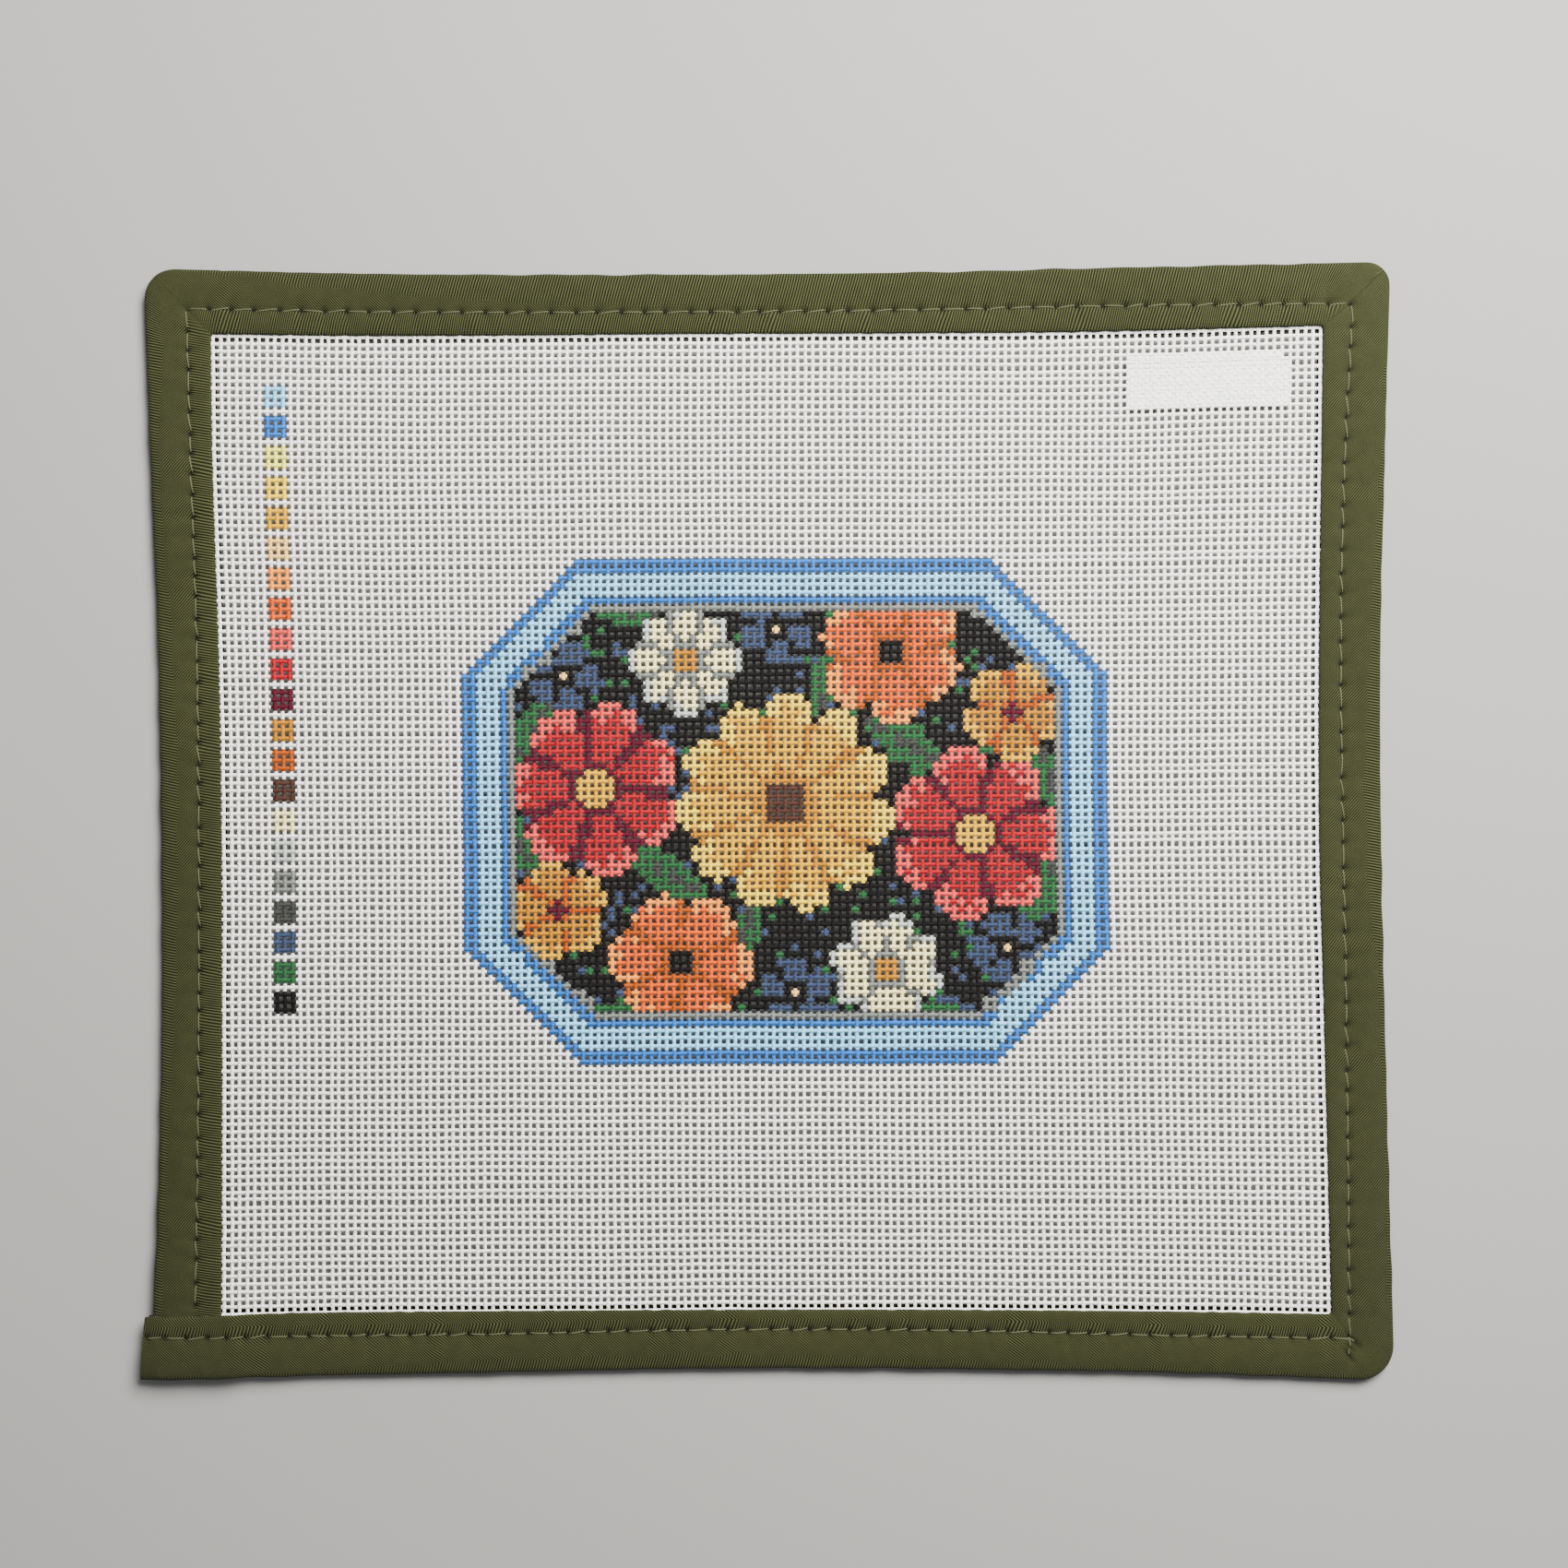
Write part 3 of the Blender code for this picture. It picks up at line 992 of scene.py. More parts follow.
# %% [markdown]
# Weave the threads
#
# Each thread is a line through its crossings. A tree of Geometry Nodes turns the lines into yarn:
# it adds a point between two crossings, lifts or sinks each crossing so that warp goes over weft
# and then under it, and sweeps a four-sided section, wider at the crossings. Every face then takes
# the paint of its nearest crossing, so a dab ends half way to the next, as on a real canvas.

# %% The weaving tree
THREAD_HALF = 0.318
THREAD_HEIGHT_SHARE = 0.56
WEAVE_LIFT = 0.030


def make_weaving_tree():
    """Geometry Nodes that turn lines through the crossings into woven yarn."""
    tree, given, result = new_group("weave threads", "GeometryNodeTree", (
        ("Geometry", "INPUT", "NodeSocketGeometry", None),
        ("Half Width", "INPUT", "NodeSocketFloat", 0.0003),
        ("Height Share", "INPUT", "NodeSocketFloat", 0.7),
        ("Weave Lift", "INPUT", "NodeSocketFloat", 0.0001),
        ("Neck", "INPUT", "NodeSocketFloat", 0.9),
        ("Paint Swell", "INPUT", "NodeSocketFloat", 0.1),
        ("Material", "INPUT", "NodeSocketMaterial", None),
        ("Geometry", "OUTPUT", "NodeSocketGeometry", None),
    ))
    guide = given.outputs["Geometry"]
    lines = add_node(tree, "GeometryNodeMeshToCurve", None, {"Mesh": guide})
    finer = add_node(tree, "GeometryNodeSubdivideCurve", None, {"Curve": lines.outputs[0], "Cuts": 1})
    over = add_node(tree, "GeometryNodeInputNamedAttribute", {"data_type": "FLOAT"}, {"Name": "over"})
    cover = add_node(tree, "GeometryNodeInputNamedAttribute", {"data_type": "FLOAT"}, {"Name": "cover"})
    rise = maths(tree, "MULTIPLY", over.outputs[0], given.outputs["Weave Lift"])
    offset = add_node(tree, "ShaderNodeCombineXYZ", None, {"Z": rise})
    woven = add_node(tree, "GeometryNodeSetPosition", None, {
        "Geometry": finer.outputs[0],
        "Offset": offset.outputs[0],
    })
    upright = add_node(tree, "GeometryNodeSetCurveNormal", {"mode": "Z_UP"}, {"Curve": woven.outputs[0]})
    at_crossing = maths(tree, "ABSOLUTE", over.outputs[0])
    thinning = maths(tree, "SUBTRACT", 1.0, given.outputs["Neck"])
    bulge = maths(tree, "MULTIPLY_ADD", at_crossing, thinning, given.outputs["Neck"])
    swell = maths(tree, "MULTIPLY_ADD", cover.outputs[0], given.outputs["Paint Swell"], bulge)
    radius = maths(tree, "MULTIPLY", swell, given.outputs["Half Width"])
    thick = add_node(tree, "GeometryNodeSetCurveRadius", None, {
        "Curve": upright.outputs[0],
        "Radius": radius,
    })
    length = add_node(tree, "GeometryNodeSplineParameter")
    measured = add_node(tree, "GeometryNodeStoreNamedAttribute", {"data_type": "FLOAT"}, {
        "Geometry": thick.outputs[0],
        "Name": "along",
        "Value": length.outputs["Length"],
    })
    corner = add_node(tree, "GeometryNodeInputIndex")
    square = add_node(tree, "GeometryNodeCurvePrimitiveQuadrilateral", None, {
        "Width": 2.0,
        "Height": maths(tree, "MULTIPLY", given.outputs["Height Share"], 2.0),
    })
    section = add_node(tree, "GeometryNodeStoreNamedAttribute", {"data_type": "FLOAT"}, {
        "Geometry": square.outputs[0],
        "Name": "around",
        "Value": maths(tree, "MULTIPLY", corner.outputs[0], 0.25),
    })
    own_radius = add_node(tree, "GeometryNodeInputRadius")
    yarn = add_node(tree, "GeometryNodeCurveToMesh", None, {
        "Curve": measured.outputs[0],
        "Profile Curve": section.outputs[0],
        "Scale": own_radius.outputs[0],
        "Fill Caps": True,
    })
    smooth = add_node(tree, "GeometryNodeSetShadeSmooth", None, {"Geometry": yarn.outputs[0]})
    chart_paint_name = add_node(
        tree, "GeometryNodeInputNamedAttribute", {"data_type": "FLOAT_COLOR"}, {"Name": "paint"}
    )
    nearest = add_node(tree, "GeometryNodeSampleNearest", {"domain": "POINT"}, {"Geometry": guide})
    dab = add_node(tree, "GeometryNodeSampleIndex", {"data_type": "FLOAT_COLOR", "domain": "POINT"}, {
        "Geometry": guide,
        "Value": chart_paint_name.outputs[0],
        "Index": nearest.outputs[0],
    })
    painted = add_node(
        tree,
        "GeometryNodeStoreNamedAttribute",
        {"data_type": "FLOAT_COLOR", "domain": "FACE"},
        {"Geometry": smooth.outputs[0], "Name": "paint", "Value": dab.outputs[0]},
    )
    laid_out = add_plan_layout(tree, painted.outputs[0])
    coloured = add_node(tree, "GeometryNodeSetMaterial", None, {
        "Geometry": laid_out,
        "Material": given.outputs["Material"],
    })
    real = add_node(tree, "GeometryNodeRealizeInstances", None, {"Geometry": coloured.outputs[0]})
    tree.links.new(real.outputs[0], result.inputs["Geometry"])
    return tree


LAYOUT_SIDE = 0.26


def add_plan_layout(tree, geometry):
    """Stores a flat map seen from above, a little sheared so that upright faces keep some width."""
    place = add_node(tree, "GeometryNodeInputPosition")
    parts = add_node(tree, "ShaderNodeSeparateXYZ", None, {0: place.outputs[0]})
    lean_x = maths(tree, "MULTIPLY_ADD", parts.outputs["Z"], 0.4, parts.outputs["X"])
    lean_y = maths(tree, "MULTIPLY_ADD", parts.outputs["Z"], 0.3, parts.outputs["Y"])
    u = maths(tree, "MULTIPLY_ADD", lean_x, 1 / LAYOUT_SIDE, 0.5)
    v = maths(tree, "MULTIPLY_ADD", lean_y, 1 / LAYOUT_SIDE, 0.5)
    both = add_node(tree, "ShaderNodeCombineXYZ", None, {"X": u, "Y": v})
    stored = add_node(
        tree,
        "GeometryNodeStoreNamedAttribute",
        {"data_type": "FLOAT2", "domain": "CORNER"},
        {"Geometry": geometry, "Name": "OFBake", "Value": both.outputs[0]},
    )
    return stored.outputs[0]


WEAVING = make_weaving_tree()
print("nodes in the weaving tree:", len(WEAVING.nodes))

# %% Lines through the crossings


def canvas_height(point):
    """The height of the canvas's middle at a plan point."""
    return CANVAS_MIDDLE + lap_lift(point)


def thread_points(index, upright):
    """One thread's crossings, with its two ends run on under the tape to the canvas's cut edge."""
    if upright:
        places = [(index, row) for row in range(ROWS)]
    else:
        places = [(column, index) for column in range(COLUMNS)]
    points = [CHART[row][column] for column, row in places]
    sign = 1 if upright else -1
    over = [sign * (1 if (column + row) % 2 else -1) for column, row in places]
    paint = [PAINT_CHART[row][column] for column, row in places]
    first = points[0] + (points[0] - points[8]).normalized() * CUT_EDGE
    last = points[-1] + (points[-1] - points[-9]).normalized() * CUT_EDGE
    bare = (*WHITE, 0.0)
    return [first, *points, last], [-over[0], *over, -over[-1]], [bare, *paint, bare]


def thread_guide(name, indices, upright):
    """A mesh of lines, one for each thread, with its crossings' weave and paint."""
    verts, edges, over, paint = [], [], [], []
    for index in indices:
        points, ups, paints = thread_points(index, upright)
        start = len(verts)
        verts += [Vector((p.x, p.y, canvas_height(p))) * MM for p in points]
        edges += [(start + i, start + i + 1) for i in range(len(points) - 1)]
        over += ups
        paint += paints
    mesh = bpy.data.meshes.new(name)
    mesh.from_pydata(verts, edges, [])
    mesh.attributes.new("over", "FLOAT", "POINT").data.foreach_set("value", over)
    mesh.attributes.new("cover", "FLOAT", "POINT").data.foreach_set("value", [p[3] for p in paint])
    colours = [c for p in paint for c in (*p[:3], 1.0)]
    mesh.attributes.new("paint", "FLOAT_COLOR", "POINT").data.foreach_set("color", colours)
    obj = bpy.data.objects.new(name, mesh)
    bpy.context.collection.objects.link(obj)
    return obj


# %% Weave warp and weft, each in two halves
WEAVE_VALUES = {
    "Half Width": THREAD_HALF * MM,
    "Height Share": THREAD_HEIGHT_SHARE,
    "Weave Lift": WEAVE_LIFT * MM,
    "Neck": 0.90,
    "Paint Swell": 0.10,
    "Material": canvas_material,
}
THREAD_SETS = (
    ("warp_left", range(COLUMNS // 2), True),
    ("warp_right", range(COLUMNS // 2, COLUMNS), True),
    ("weft_low", range(ROWS // 2), False),
    ("weft_high", range(ROWS // 2, ROWS), False),
)
thread_pieces = []
for name, indices, upright in THREAD_SETS:
    piece = apply_tree(thread_guide(name, indices, upright), WEAVING, WEAVE_VALUES)
    thread_pieces.append(piece)
    print(name, "threads:", len(indices), "faces:", len(piece.data.polygons))

# %% [markdown]
# The white patch
#
# Near the top right corner a small block of holes is filled with thick white paint, a smooth place
# to write on. A flat card over the mesh would hide the weave that still shows through it. Instead
# each hole gets its own plug of paint, a soft pad just below the tops of the threads: one small
# shape instanced on the middles of the holes.

# %% The filling tree
PATCH_COLUMN = 119
PATCH_ROW = ROWS - 11
PATCH_WIDE = 21
PATCH_HIGH = 7
PLUG_SIDE = 0.95
PLUG_THICK = 0.62


def make_filling_tree():
    """Geometry Nodes that put a soft plug on every point."""
    tree, given, result = new_group("fill holes", "GeometryNodeTree", (
        ("Geometry", "INPUT", "NodeSocketGeometry", None),
        ("Side", "INPUT", "NodeSocketFloat", 0.001),
        ("Thickness", "INPUT", "NodeSocketFloat", 0.0005),
        ("Seed", "INPUT", "NodeSocketInt", 3),
        ("Material", "INPUT", "NodeSocketMaterial", None),
        ("Geometry", "OUTPUT", "NodeSocketGeometry", None),
    ))
    size = add_node(tree, "ShaderNodeCombineXYZ", None, {
        "X": given.outputs["Side"],
        "Y": given.outputs["Side"],
        "Z": given.outputs["Thickness"],
    })
    block = add_node(tree, "GeometryNodeMeshCube", None, {"Size": size.outputs[0]})
    soft = add_node(tree, "GeometryNodeSubdivisionSurface", None, {
        "Mesh": block.outputs[0],
        "Level": 2,
        "Edge Crease": 0.55,
    })
    chance = add_node(tree, "FunctionNodeRandomValue", {"data_type": "FLOAT"}, {
        2: 0.93,
        3: 1.05,
        "Seed": given.outputs["Seed"],
    })
    plugs = add_node(tree, "GeometryNodeInstanceOnPoints", None, {
        "Points": given.outputs["Geometry"],
        "Instance": soft.outputs[0],
        "Scale": chance.outputs[1],
    })
    real = add_node(tree, "GeometryNodeRealizeInstances", None, {"Geometry": plugs.outputs[0]})
    smooth = add_node(tree, "GeometryNodeSetShadeSmooth", None, {"Geometry": real.outputs[0]})
    laid_out = add_plan_layout(tree, smooth.outputs[0])
    coloured = add_node(tree, "GeometryNodeSetMaterial", None, {
        "Geometry": laid_out,
        "Material": given.outputs["Material"],
    })
    tree.links.new(coloured.outputs[0], result.inputs["Geometry"])
    return tree


def patch_holes():
    """Middles of the filled holes, the patch's top right corner left open."""
    spots = []
    for row in range(PATCH_HIGH):
        for column in range(PATCH_WIDE):
            if (row, column) == (PATCH_HIGH - 1, PATCH_WIDE - 1):
                continue
            low = CHART[PATCH_ROW + row][PATCH_COLUMN + column]
            high = CHART[PATCH_ROW + row + 1][PATCH_COLUMN + column + 1]
            middle = (low + high) / 2
            spots.append(Vector((middle.x, middle.y, canvas_height(middle) - 0.04)) * MM)
    return spots


patch_guide = bpy.data.objects.new("white_patch", bpy.data.meshes.new("white_patch"))
patch_guide.data.from_pydata(patch_holes(), [], [])
bpy.context.collection.objects.link(patch_guide)
white_patch = apply_tree(patch_guide, make_filling_tree(), {
    "Side": PLUG_SIDE * MM,
    "Thickness": PLUG_THICK * MM,
    "Seed": 3,
    "Material": fill_material,
})
print("filled holes:", len(patch_holes()), "faces:", len(white_patch.data.polygons))

# %% [markdown]
# The twill of the tape
#
# The tape's ridges are about half a millimetre apart, far too fine to model on nearly a metre of
# tape, so they are bump, and colour that paints light on the ridges and shade in the grooves between
# them. The cloth map gives each ridge one number, so a plain wave of that number draws it. A little
# noise in the number makes the ridges wander and thicken as yarn does, and a second, finer wave along
# each ridge is the yarn's own steps, shaded in the same painted way.

# %% The tape's finish
RIDGE_PITCH = 0.52
RIM_WIDE = 2.0
STEP_PITCH = 0.42
TURN_WIDE = 0.9
# The ridge tops are painted as lit and the grooves between them as in shade: painted light and shade, whose
# mix gives the olive.
PAINTED_RIDGE_LIGHT = (0.0555, 0.0605, 0.0215)
PAINTED_GROOVE_SHADE = (0.0042, 0.0052, 0.0009)


def ridge_number(tree, cloth):
    """The number that one ridge keeps over all its bands, the place across and the nearness of a turn."""
    place = add_node(tree, "ShaderNodeSeparateXYZ", None, {0: cloth})
    along, across = place.outputs["X"], place.outputs["Y"]
    kept = {
        name: add_node(tree, "ShaderNodeAttribute", {"attribute_name": name})
        for name in ("fold_run", "band_edge", "seam_edge", "slopes")
    }
    slope = add_node(tree, "ShaderNodeSeparateXYZ", None, {0: kept["slopes"].outputs["Vector"]})
    roam = add_node(tree, "ShaderNodeTexNoise", {"noise_dimensions": "1D"}, {
        "W": along,
        "Scale": 0.12,
        "Detail": 1.0,
    })
    seam = kept["seam_edge"].outputs["Fac"]
    moved = maths(tree, "MULTIPLY_ADD", maths(tree, "SUBTRACT", roam.outputs["Fac"], 0.5), 1.8,
                  kept["band_edge"].outputs["Fac"])
    band = maths(tree, "MINIMUM", maths(tree, "MAXIMUM", moved, 0.2), seam)
    reach = maths(tree, "ABSOLUTE", across)
    middle_end = maths(tree, "MINIMUM", reach, seam)
    rim_start = maths(tree, "ADD", seam, RIM_WIDE)
    outer = maths(tree, "MULTIPLY", maths(tree, "MINIMUM", reach, band), slope.outputs[0])
    middle = maths(tree, "MAXIMUM", maths(tree, "SUBTRACT", middle_end, band), 0.0)
    inner_end = maths(tree, "MINIMUM", reach, rim_start)
    inner = maths(tree, "MAXIMUM", maths(tree, "SUBTRACT", inner_end, seam), 0.0)
    rim = maths(tree, "MAXIMUM", maths(tree, "SUBTRACT", reach, rim_start), 0.0)
    shift = maths(tree, "MULTIPLY_ADD", middle, slope.outputs[1], outer)
    shift = maths(tree, "MULTIPLY_ADD", inner, slope.outputs[2], shift)
    shift = maths(tree, "MULTIPLY_ADD", rim, kept["slopes"].outputs["Alpha"], shift)
    side = maths(tree, "SIGN", across)
    in_fold = maths(tree, "LESS_THAN", reach, band)
    corner = maths(tree, "SUBTRACT", kept["fold_run"].outputs["Fac"], along)
    run = maths(tree, "MULTIPLY_ADD", corner, in_fold, along)
    off_turn = maths(tree, "ABSOLUTE", maths(tree, "SUBTRACT", reach, band))
    off_turn = maths(tree, "MINIMUM", maths(tree, "MULTIPLY", off_turn, 1 / TURN_WIDE), 1.0)
    return maths(tree, "SUBTRACT", run, maths(tree, "MULTIPLY", shift, side)), across, off_turn


def make_tape_material():
    """Olive herringbone twill, drawn on the cloth map, with light painted on its ridges and shade in its
    grooves.
    """
    material, tree, shader = new_material("olive twill", 0.85)
    cloth = add_node(tree, "ShaderNodeUVMap", {"uv_map": "twill"})
    drift = add_node(tree, "ShaderNodeTexNoise", None, {
        "Vector": cloth.outputs[0],
        "Scale": 0.10,
        "Detail": 2.0,
        "Roughness": 0.3,
    })
    fine = add_node(tree, "ShaderNodeTexNoise", None, {
        "Vector": cloth.outputs[0],
        "Scale": 3.2,
        "Detail": 3.0,
    })
    patches = add_node(tree, "ShaderNodeTexNoise", None, {
        "Vector": cloth.outputs[0],
        "Scale": 0.35,
        "Detail": 2.0,
    })
    number, across, off_turn = ridge_number(tree, cloth.outputs[0])
    moved = maths(tree, "MULTIPLY_ADD", drift.outputs["Fac"], 0.6, number)
    turns = maths(tree, "MULTIPLY", moved, math.tau / RIDGE_PITCH)
    ridge = maths(tree, "MULTIPLY_ADD", maths(tree, "SINE", turns), 0.5, 0.5)
    steps_at = maths(tree, "MULTIPLY", across, math.tau / STEP_PITCH)
    steps = maths(tree, "MULTIPLY_ADD", maths(tree, "SINE", steps_at), 0.10, 0.90)
    yarn = maths(tree, "MULTIPLY", ridge, steps)
    mitre = add_node(tree, "ShaderNodeAttribute", {"attribute_name": "mitre"})
    clear = maths(tree, "MULTIPLY_ADD", mitre.outputs["Fac"], -0.75, 1.0)
    strength = maths(tree, "MULTIPLY_ADD", patches.outputs["Fac"], 1.5, 0.50)
    strength = maths(tree, "MULTIPLY", strength, clear)
    strength = maths(tree, "MULTIPLY", strength, maths(tree, "MULTIPLY_ADD", off_turn, 0.4, 0.6))
    # The ridge wave, with its patchy contrast, sets how much painted light or painted shade each place
    # gets.
    patchy_ridge_shade = maths(tree, "MULTIPLY_ADD", maths(tree, "SUBTRACT", yarn, 0.45), strength, 0.45)
    wear_and_ridge_shade = maths(tree, "MULTIPLY_ADD", maths(tree, "SUBTRACT", fine.outputs["Fac"], 0.5), 0.5, patchy_ridge_shade)
    face = maths(tree, "POWER", maths(tree, "MAXIMUM", wear_and_ridge_shade, 0.0), 1.35)
    mixed = add_node(tree, "ShaderNodeMix", {"data_type": "RGBA", "clamp_factor": True}, {
        "Factor": face,
        6: (*PAINTED_GROOVE_SHADE, 1.0),
        7: (*PAINTED_RIDGE_LIGHT, 1.0),
    })
    cotton = cotton_in(tree, 420.0, 0.22)
    # The needle holes are painted dark in the tape's colour: painted shade for the shadow down each hole.
    pit_shade = add_node(tree, "ShaderNodeAttribute", {"attribute_name": "pit_shade"})
    painted_hole_shade = maths(tree, "MULTIPLY_ADD", pit_shade.outputs["Fac"], -1.1, 1.05)
    shade = maths(tree, "MULTIPLY", cotton.outputs["Shade"], maths(tree, "MAXIMUM", painted_hole_shade, 0.03))
    colour = tinted(tree, mixed.outputs[2], maths(tree, "MINIMUM", shade, 1.3))
    tree.links.new(colour, shader.inputs["Base Color"])
    shader.inputs["Sheen Weight"].default_value = 0.04
    bump_from(tree, shader, wear_and_ridge_shade, 0.00016, 0.7)
    return material


def make_sewing_material():
    """Mercerised sewing thread, lighter than the tape."""
    material, tree, shader = new_material("olive sewing thread", 0.5)
    cotton = cotton_in(tree, 1500.0, 0.12)
    colour = tinted(tree, (0.082, 0.085, 0.045), cotton.outputs["Shade"])
    tree.links.new(colour, shader.inputs["Base Color"])
    shader.inputs["Sheen Weight"].default_value = 0.1
    return material


tape.data.materials.append(make_tape_material())
sewing_material = make_sewing_material()

# %% [markdown]
# The stitches
#
# A lockstitch shows as a short length of two-ply thread that comes up out of one needle hole and
# goes down into the next. There are over two hundred, all alike but for their length and lie. One
# stitch is modelled in the tree as two strands wound round each other on an arc, and then
# instanced along the seam, turned and stretched to fit between its two holes.

# %% The stitching tree
STRAND_HALF = 0.075
STITCH_ARC = 0.42
STITCH_SHARE = 0.80
STITCH_LEAN = 0.06


def make_stitching_tree():
    """Geometry Nodes that lay a two-ply stitch on every point, along the point's own direction."""
    tree, given, result = new_group("sew stitches", "GeometryNodeTree", (
        ("Geometry", "INPUT", "NodeSocketGeometry", None),
        ("Strand Half", "INPUT", "NodeSocketFloat", 0.0001),
        ("Arc", "INPUT", "NodeSocketFloat", 0.0003),
        ("Twists", "INPUT", "NodeSocketFloat", 3.0),
        ("Seed", "INPUT", "NodeSocketInt", 5),
        ("Material", "INPUT", "NodeSocketMaterial", None),
        ("Geometry", "OUTPUT", "NodeSocketGeometry", None),
    ))
    joined = add_node(tree, "GeometryNodeJoinGeometry")
    for ply in range(2):
        line = add_node(tree, "GeometryNodeCurvePrimitiveLine", None, {
            "Start": (-0.5, 0.0, 0.0),
            "End": (0.5, 0.0, 0.0),
        })
        points = add_node(tree, "GeometryNodeResampleCurve", None, {"Curve": line.outputs[0], "Count": 15})
        place = add_node(tree, "GeometryNodeInputPosition")
        parts = add_node(tree, "ShaderNodeSeparateXYZ", None, {0: place.outputs[0]})
        turn_rate = maths(tree, "MULTIPLY", given.outputs["Twists"], math.tau)
        turn = maths(tree, "MULTIPLY_ADD", parts.outputs["X"], turn_rate, math.pi * ply)
        beside = maths(tree, "MULTIPLY", maths(tree, "COSINE", turn), given.outputs["Strand Half"])
        above = maths(tree, "MULTIPLY", maths(tree, "SINE", turn), given.outputs["Strand Half"])
        off_middle = maths(tree, "ABSOLUTE", maths(tree, "MULTIPLY", parts.outputs["X"], 2.0))
        bow = maths(tree, "POWER", off_middle, 4.0)
        drop = maths(tree, "MULTIPLY", bow, given.outputs["Arc"])
        height = maths(tree, "SUBTRACT", above, drop)
        offset = add_node(tree, "ShaderNodeCombineXYZ", None, {"Y": beside, "Z": height})
        wound = add_node(tree, "GeometryNodeSetPosition", None, {
            "Geometry": points.outputs[0],
            "Offset": offset.outputs[0],
        })
        tree.links.new(wound.outputs[0], joined.inputs[0])
    stretched = add_node(tree, "GeometryNodeInputNamedAttribute", {"data_type": "FLOAT"}, {"Name": "reach"})
    way = add_node(tree, "GeometryNodeInputNamedAttribute", {"data_type": "FLOAT_VECTOR"}, {"Name": "way"})
    turned = add_node(tree, "FunctionNodeAlignRotationToVector", {"axis": "X"}, {"Vector": way.outputs[0]})
    size = add_node(tree, "ShaderNodeCombineXYZ", None, {"X": stretched.outputs[0], "Y": 1.0, "Z": 1.0})
    placed = add_node(tree, "GeometryNodeInstanceOnPoints", None, {
        "Points": given.outputs["Geometry"],
        "Instance": joined.outputs[0],
        "Rotation": turned.outputs[0],
        "Scale": size.outputs[0],
    })
    sway = add_node(tree, "FunctionNodeRandomValue", {"data_type": "FLOAT_VECTOR"}, {
        0: (-0.03, -0.05, STITCH_LEAN - 0.13),
        1: (0.03, 0.05, STITCH_LEAN + 0.13),
        "Seed": given.outputs["Seed"],
    })
    loose = add_node(tree, "GeometryNodeRotateInstances", None, {
        "Instances": placed.outputs[0],
        "Rotation": sway.outputs[0],
    })
    real = add_node(tree, "GeometryNodeRealizeInstances", None, {"Geometry": loose.outputs[0]})
    thin = maths(tree, "MULTIPLY", given.outputs["Strand Half"], 1.1)
    circle = add_node(tree, "GeometryNodeCurvePrimitiveCircle", None, {"Resolution": 5, "Radius": thin})
    strands = add_node(tree, "GeometryNodeCurveToMesh", None, {
        "Curve": real.outputs[0],
        "Profile Curve": circle.outputs[0],
        "Fill Caps": True,
    })
    smooth = add_node(tree, "GeometryNodeSetShadeSmooth", None, {"Geometry": strands.outputs[0]})
    coloured = add_node(tree, "GeometryNodeSetMaterial", None, {
        "Geometry": smooth.outputs[0],
        "Material": given.outputs["Material"],
    })
    tree.links.new(coloured.outputs[0], result.inputs["Geometry"])
    return tree


# %% Sew the seam, above and below


def tape_height(point, above):
    """The height in metres of the tape's upper or under surface at a plan point."""
    start = Vector((*point, 10.0 if above else -1.0)) * MM
    hit, place, _, _ = tape.ray_cast(start, Vector((0, 0, -1 if above else 1)))
    return place.z if hit else CANVAS_MIDDLE * MM


def seam_stitches():
    """Each open stitch as its middle and its way from one needle hole to the next, in plan."""
    stitches = []
    for leg in range(4):
        for a, b in zip(HOLES[leg], HOLES[leg][1:]):
            first, last = (side_rib(leg, at).seam for at in (a, b))
            if leg == 0 and first.y < on_side(BOTTOM, "inner", -first.x).y:
                continue
            stitches.append((side_rib(leg, (a + b) / 2).seam, (last - first) * STITCH_SHARE))
    return stitches


def stitch_guide(name, above, sink):
    """Points at the middle of each stitch, with its length and direction."""
    verts, reach, ways = [], [], []
    stitches = seam_stitches()
    if above:
        stitches += [(KNOT + step, way) for step, way in KNOT_STITCHES]
    for middle, way in stitches:
        verts.append(Vector((*(middle * MM), tape_height(middle, above) - sink * MM)))
        reach.append(way.length * MM)
        ways += [*(way.normalized() * (1 if above else -1)), 0.0]
    mesh = bpy.data.meshes.new(name)
    mesh.from_pydata(verts, [], [])
    mesh.attributes.new("reach", "FLOAT", "POINT").data.foreach_set("value", reach)
    mesh.attributes.new("way", "FLOAT_VECTOR", "POINT").data.foreach_set("vector", ways)
    obj = bpy.data.objects.new(name, mesh)
    bpy.context.collection.objects.link(obj)
    return obj


bpy.context.view_layer.update()
STITCHING = make_stitching_tree()
stitch_pieces = []
for name, above, sink, arc in (
    ("seam_stitches", True, -0.02, STITCH_ARC),
    ("bobbin_stitches", False, 0.12, -0.05),
):
    piece = apply_tree(stitch_guide(name, above, sink), STITCHING, {
        "Strand Half": STRAND_HALF * MM,
        "Arc": arc * MM,
        "Twists": 3.5,
        "Seed": 5,
        "Material": sewing_material,
    })
    stitch_pieces.append(piece)
    print(name, "faces:", len(piece.data.polygons))

# %% [markdown]
# Tell the frame which body each piece rides with
#
# The imported model keeps its plain solids for physics. Each dressed piece rides with the root body,
# and the plain solids of the canvas and the tape are hidden from view, since the dressed pieces stand
# in for them.

# %% Ride, and hide the solids
for piece in [*thread_pieces, white_patch]:
    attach(piece, "root")
for piece in thread_pieces:
    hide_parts("canvas")
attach(tape, "root")
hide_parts("binding_tape")
for piece in stitch_pieces:
    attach(piece, "root")

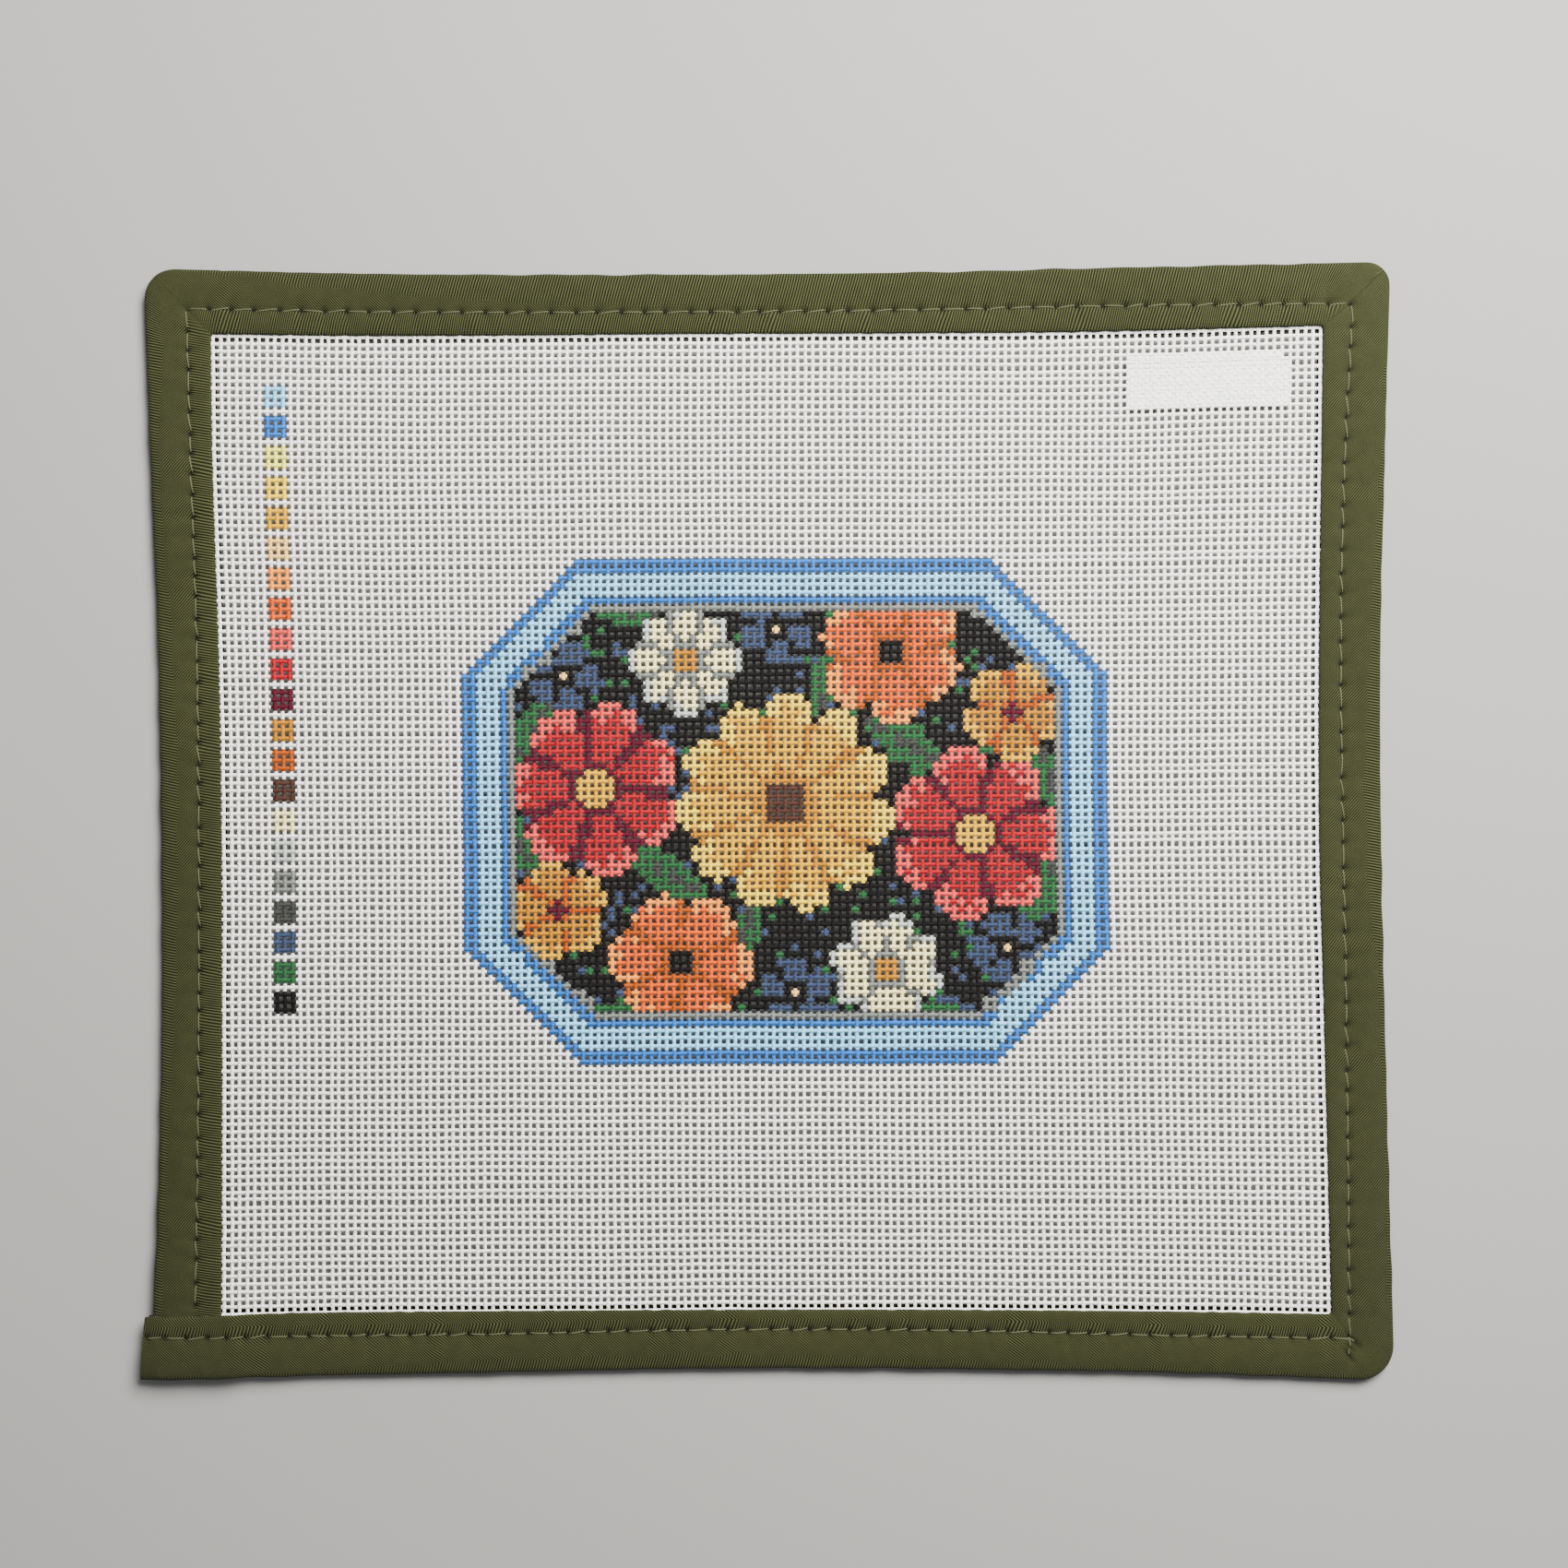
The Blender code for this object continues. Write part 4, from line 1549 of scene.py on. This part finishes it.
# %% [markdown]
# Floor, light and camera
#
# The panel lies on a plain pale floor and is seen from straight above. The light is large and soft
# and stands beyond the top right corner, so the bottom left is a little darker. The camera's height
# follows from its lens and from how much of the picture's width the panel fills.

# %% The stage
VIEW_WIDE = 292.4
VIEW_MIDDLE = (3.0, 6.9)
LENS = 50.0
SENSOR = 36.0
PANEL_TOP = 2.5
FLOOR_DROP = 0.00005


def make_floor():
    """A wide plain floor just under the panel."""
    bm = bmesh.new()
    bmesh.ops.create_grid(bm, x_segments=1, y_segments=1, size=3.0)
    floor = finish_mesh("floor", bm)
    floor.location.z = -FLOOR_DROP
    material, _, shader = new_material("pale floor", 0.9)
    shader.inputs["Base Color"].default_value = (0.30, 0.297, 0.287, 1.0)
    floor.data.materials.append(material)


def add_light(name, place, side, watts, colour):
    """A square soft light that faces the panel's middle."""
    data = bpy.data.lights.new(name, "AREA")
    data.size = side
    data.energy = watts
    data.color = colour
    obj = bpy.data.objects.new(name, data)
    obj.location = place
    obj.rotation_euler = (Vector((0, 0, 0)) - Vector(place)).to_track_quat("-Z", "Y").to_euler()
    bpy.context.collection.objects.link(obj)


def add_camera():
    """A camera straight above, framing the panel as in the picture."""
    data = bpy.data.cameras.new("camera")
    data.lens = LENS
    data.sensor_width = SENSOR
    obj = bpy.data.objects.new("camera", data)
    height = VIEW_WIDE * LENS / SENSOR + PANEL_TOP
    obj.location = Vector((*VIEW_MIDDLE, height)) * MM
    bpy.context.collection.objects.link(obj)
    bpy.context.scene.camera = obj
    print("camera height in mm:", round(height))


make_floor()
add_light("key", (0.22, 0.34, 0.47), 0.34, 16.5, (1.0, 0.985, 0.95))
add_light("fill", (-0.5, -0.3, 0.8), 0.8, 0.7, (1.0, 0.95, 0.90))
world = bpy.data.worlds.new("studio")
world.use_nodes = True
world.node_tree.nodes["Background"].inputs["Color"].default_value = (0.9, 0.93, 1.0, 1.0)
world.node_tree.nodes["Background"].inputs["Strength"].default_value = 0.24
bpy.context.scene.world = world
add_camera()
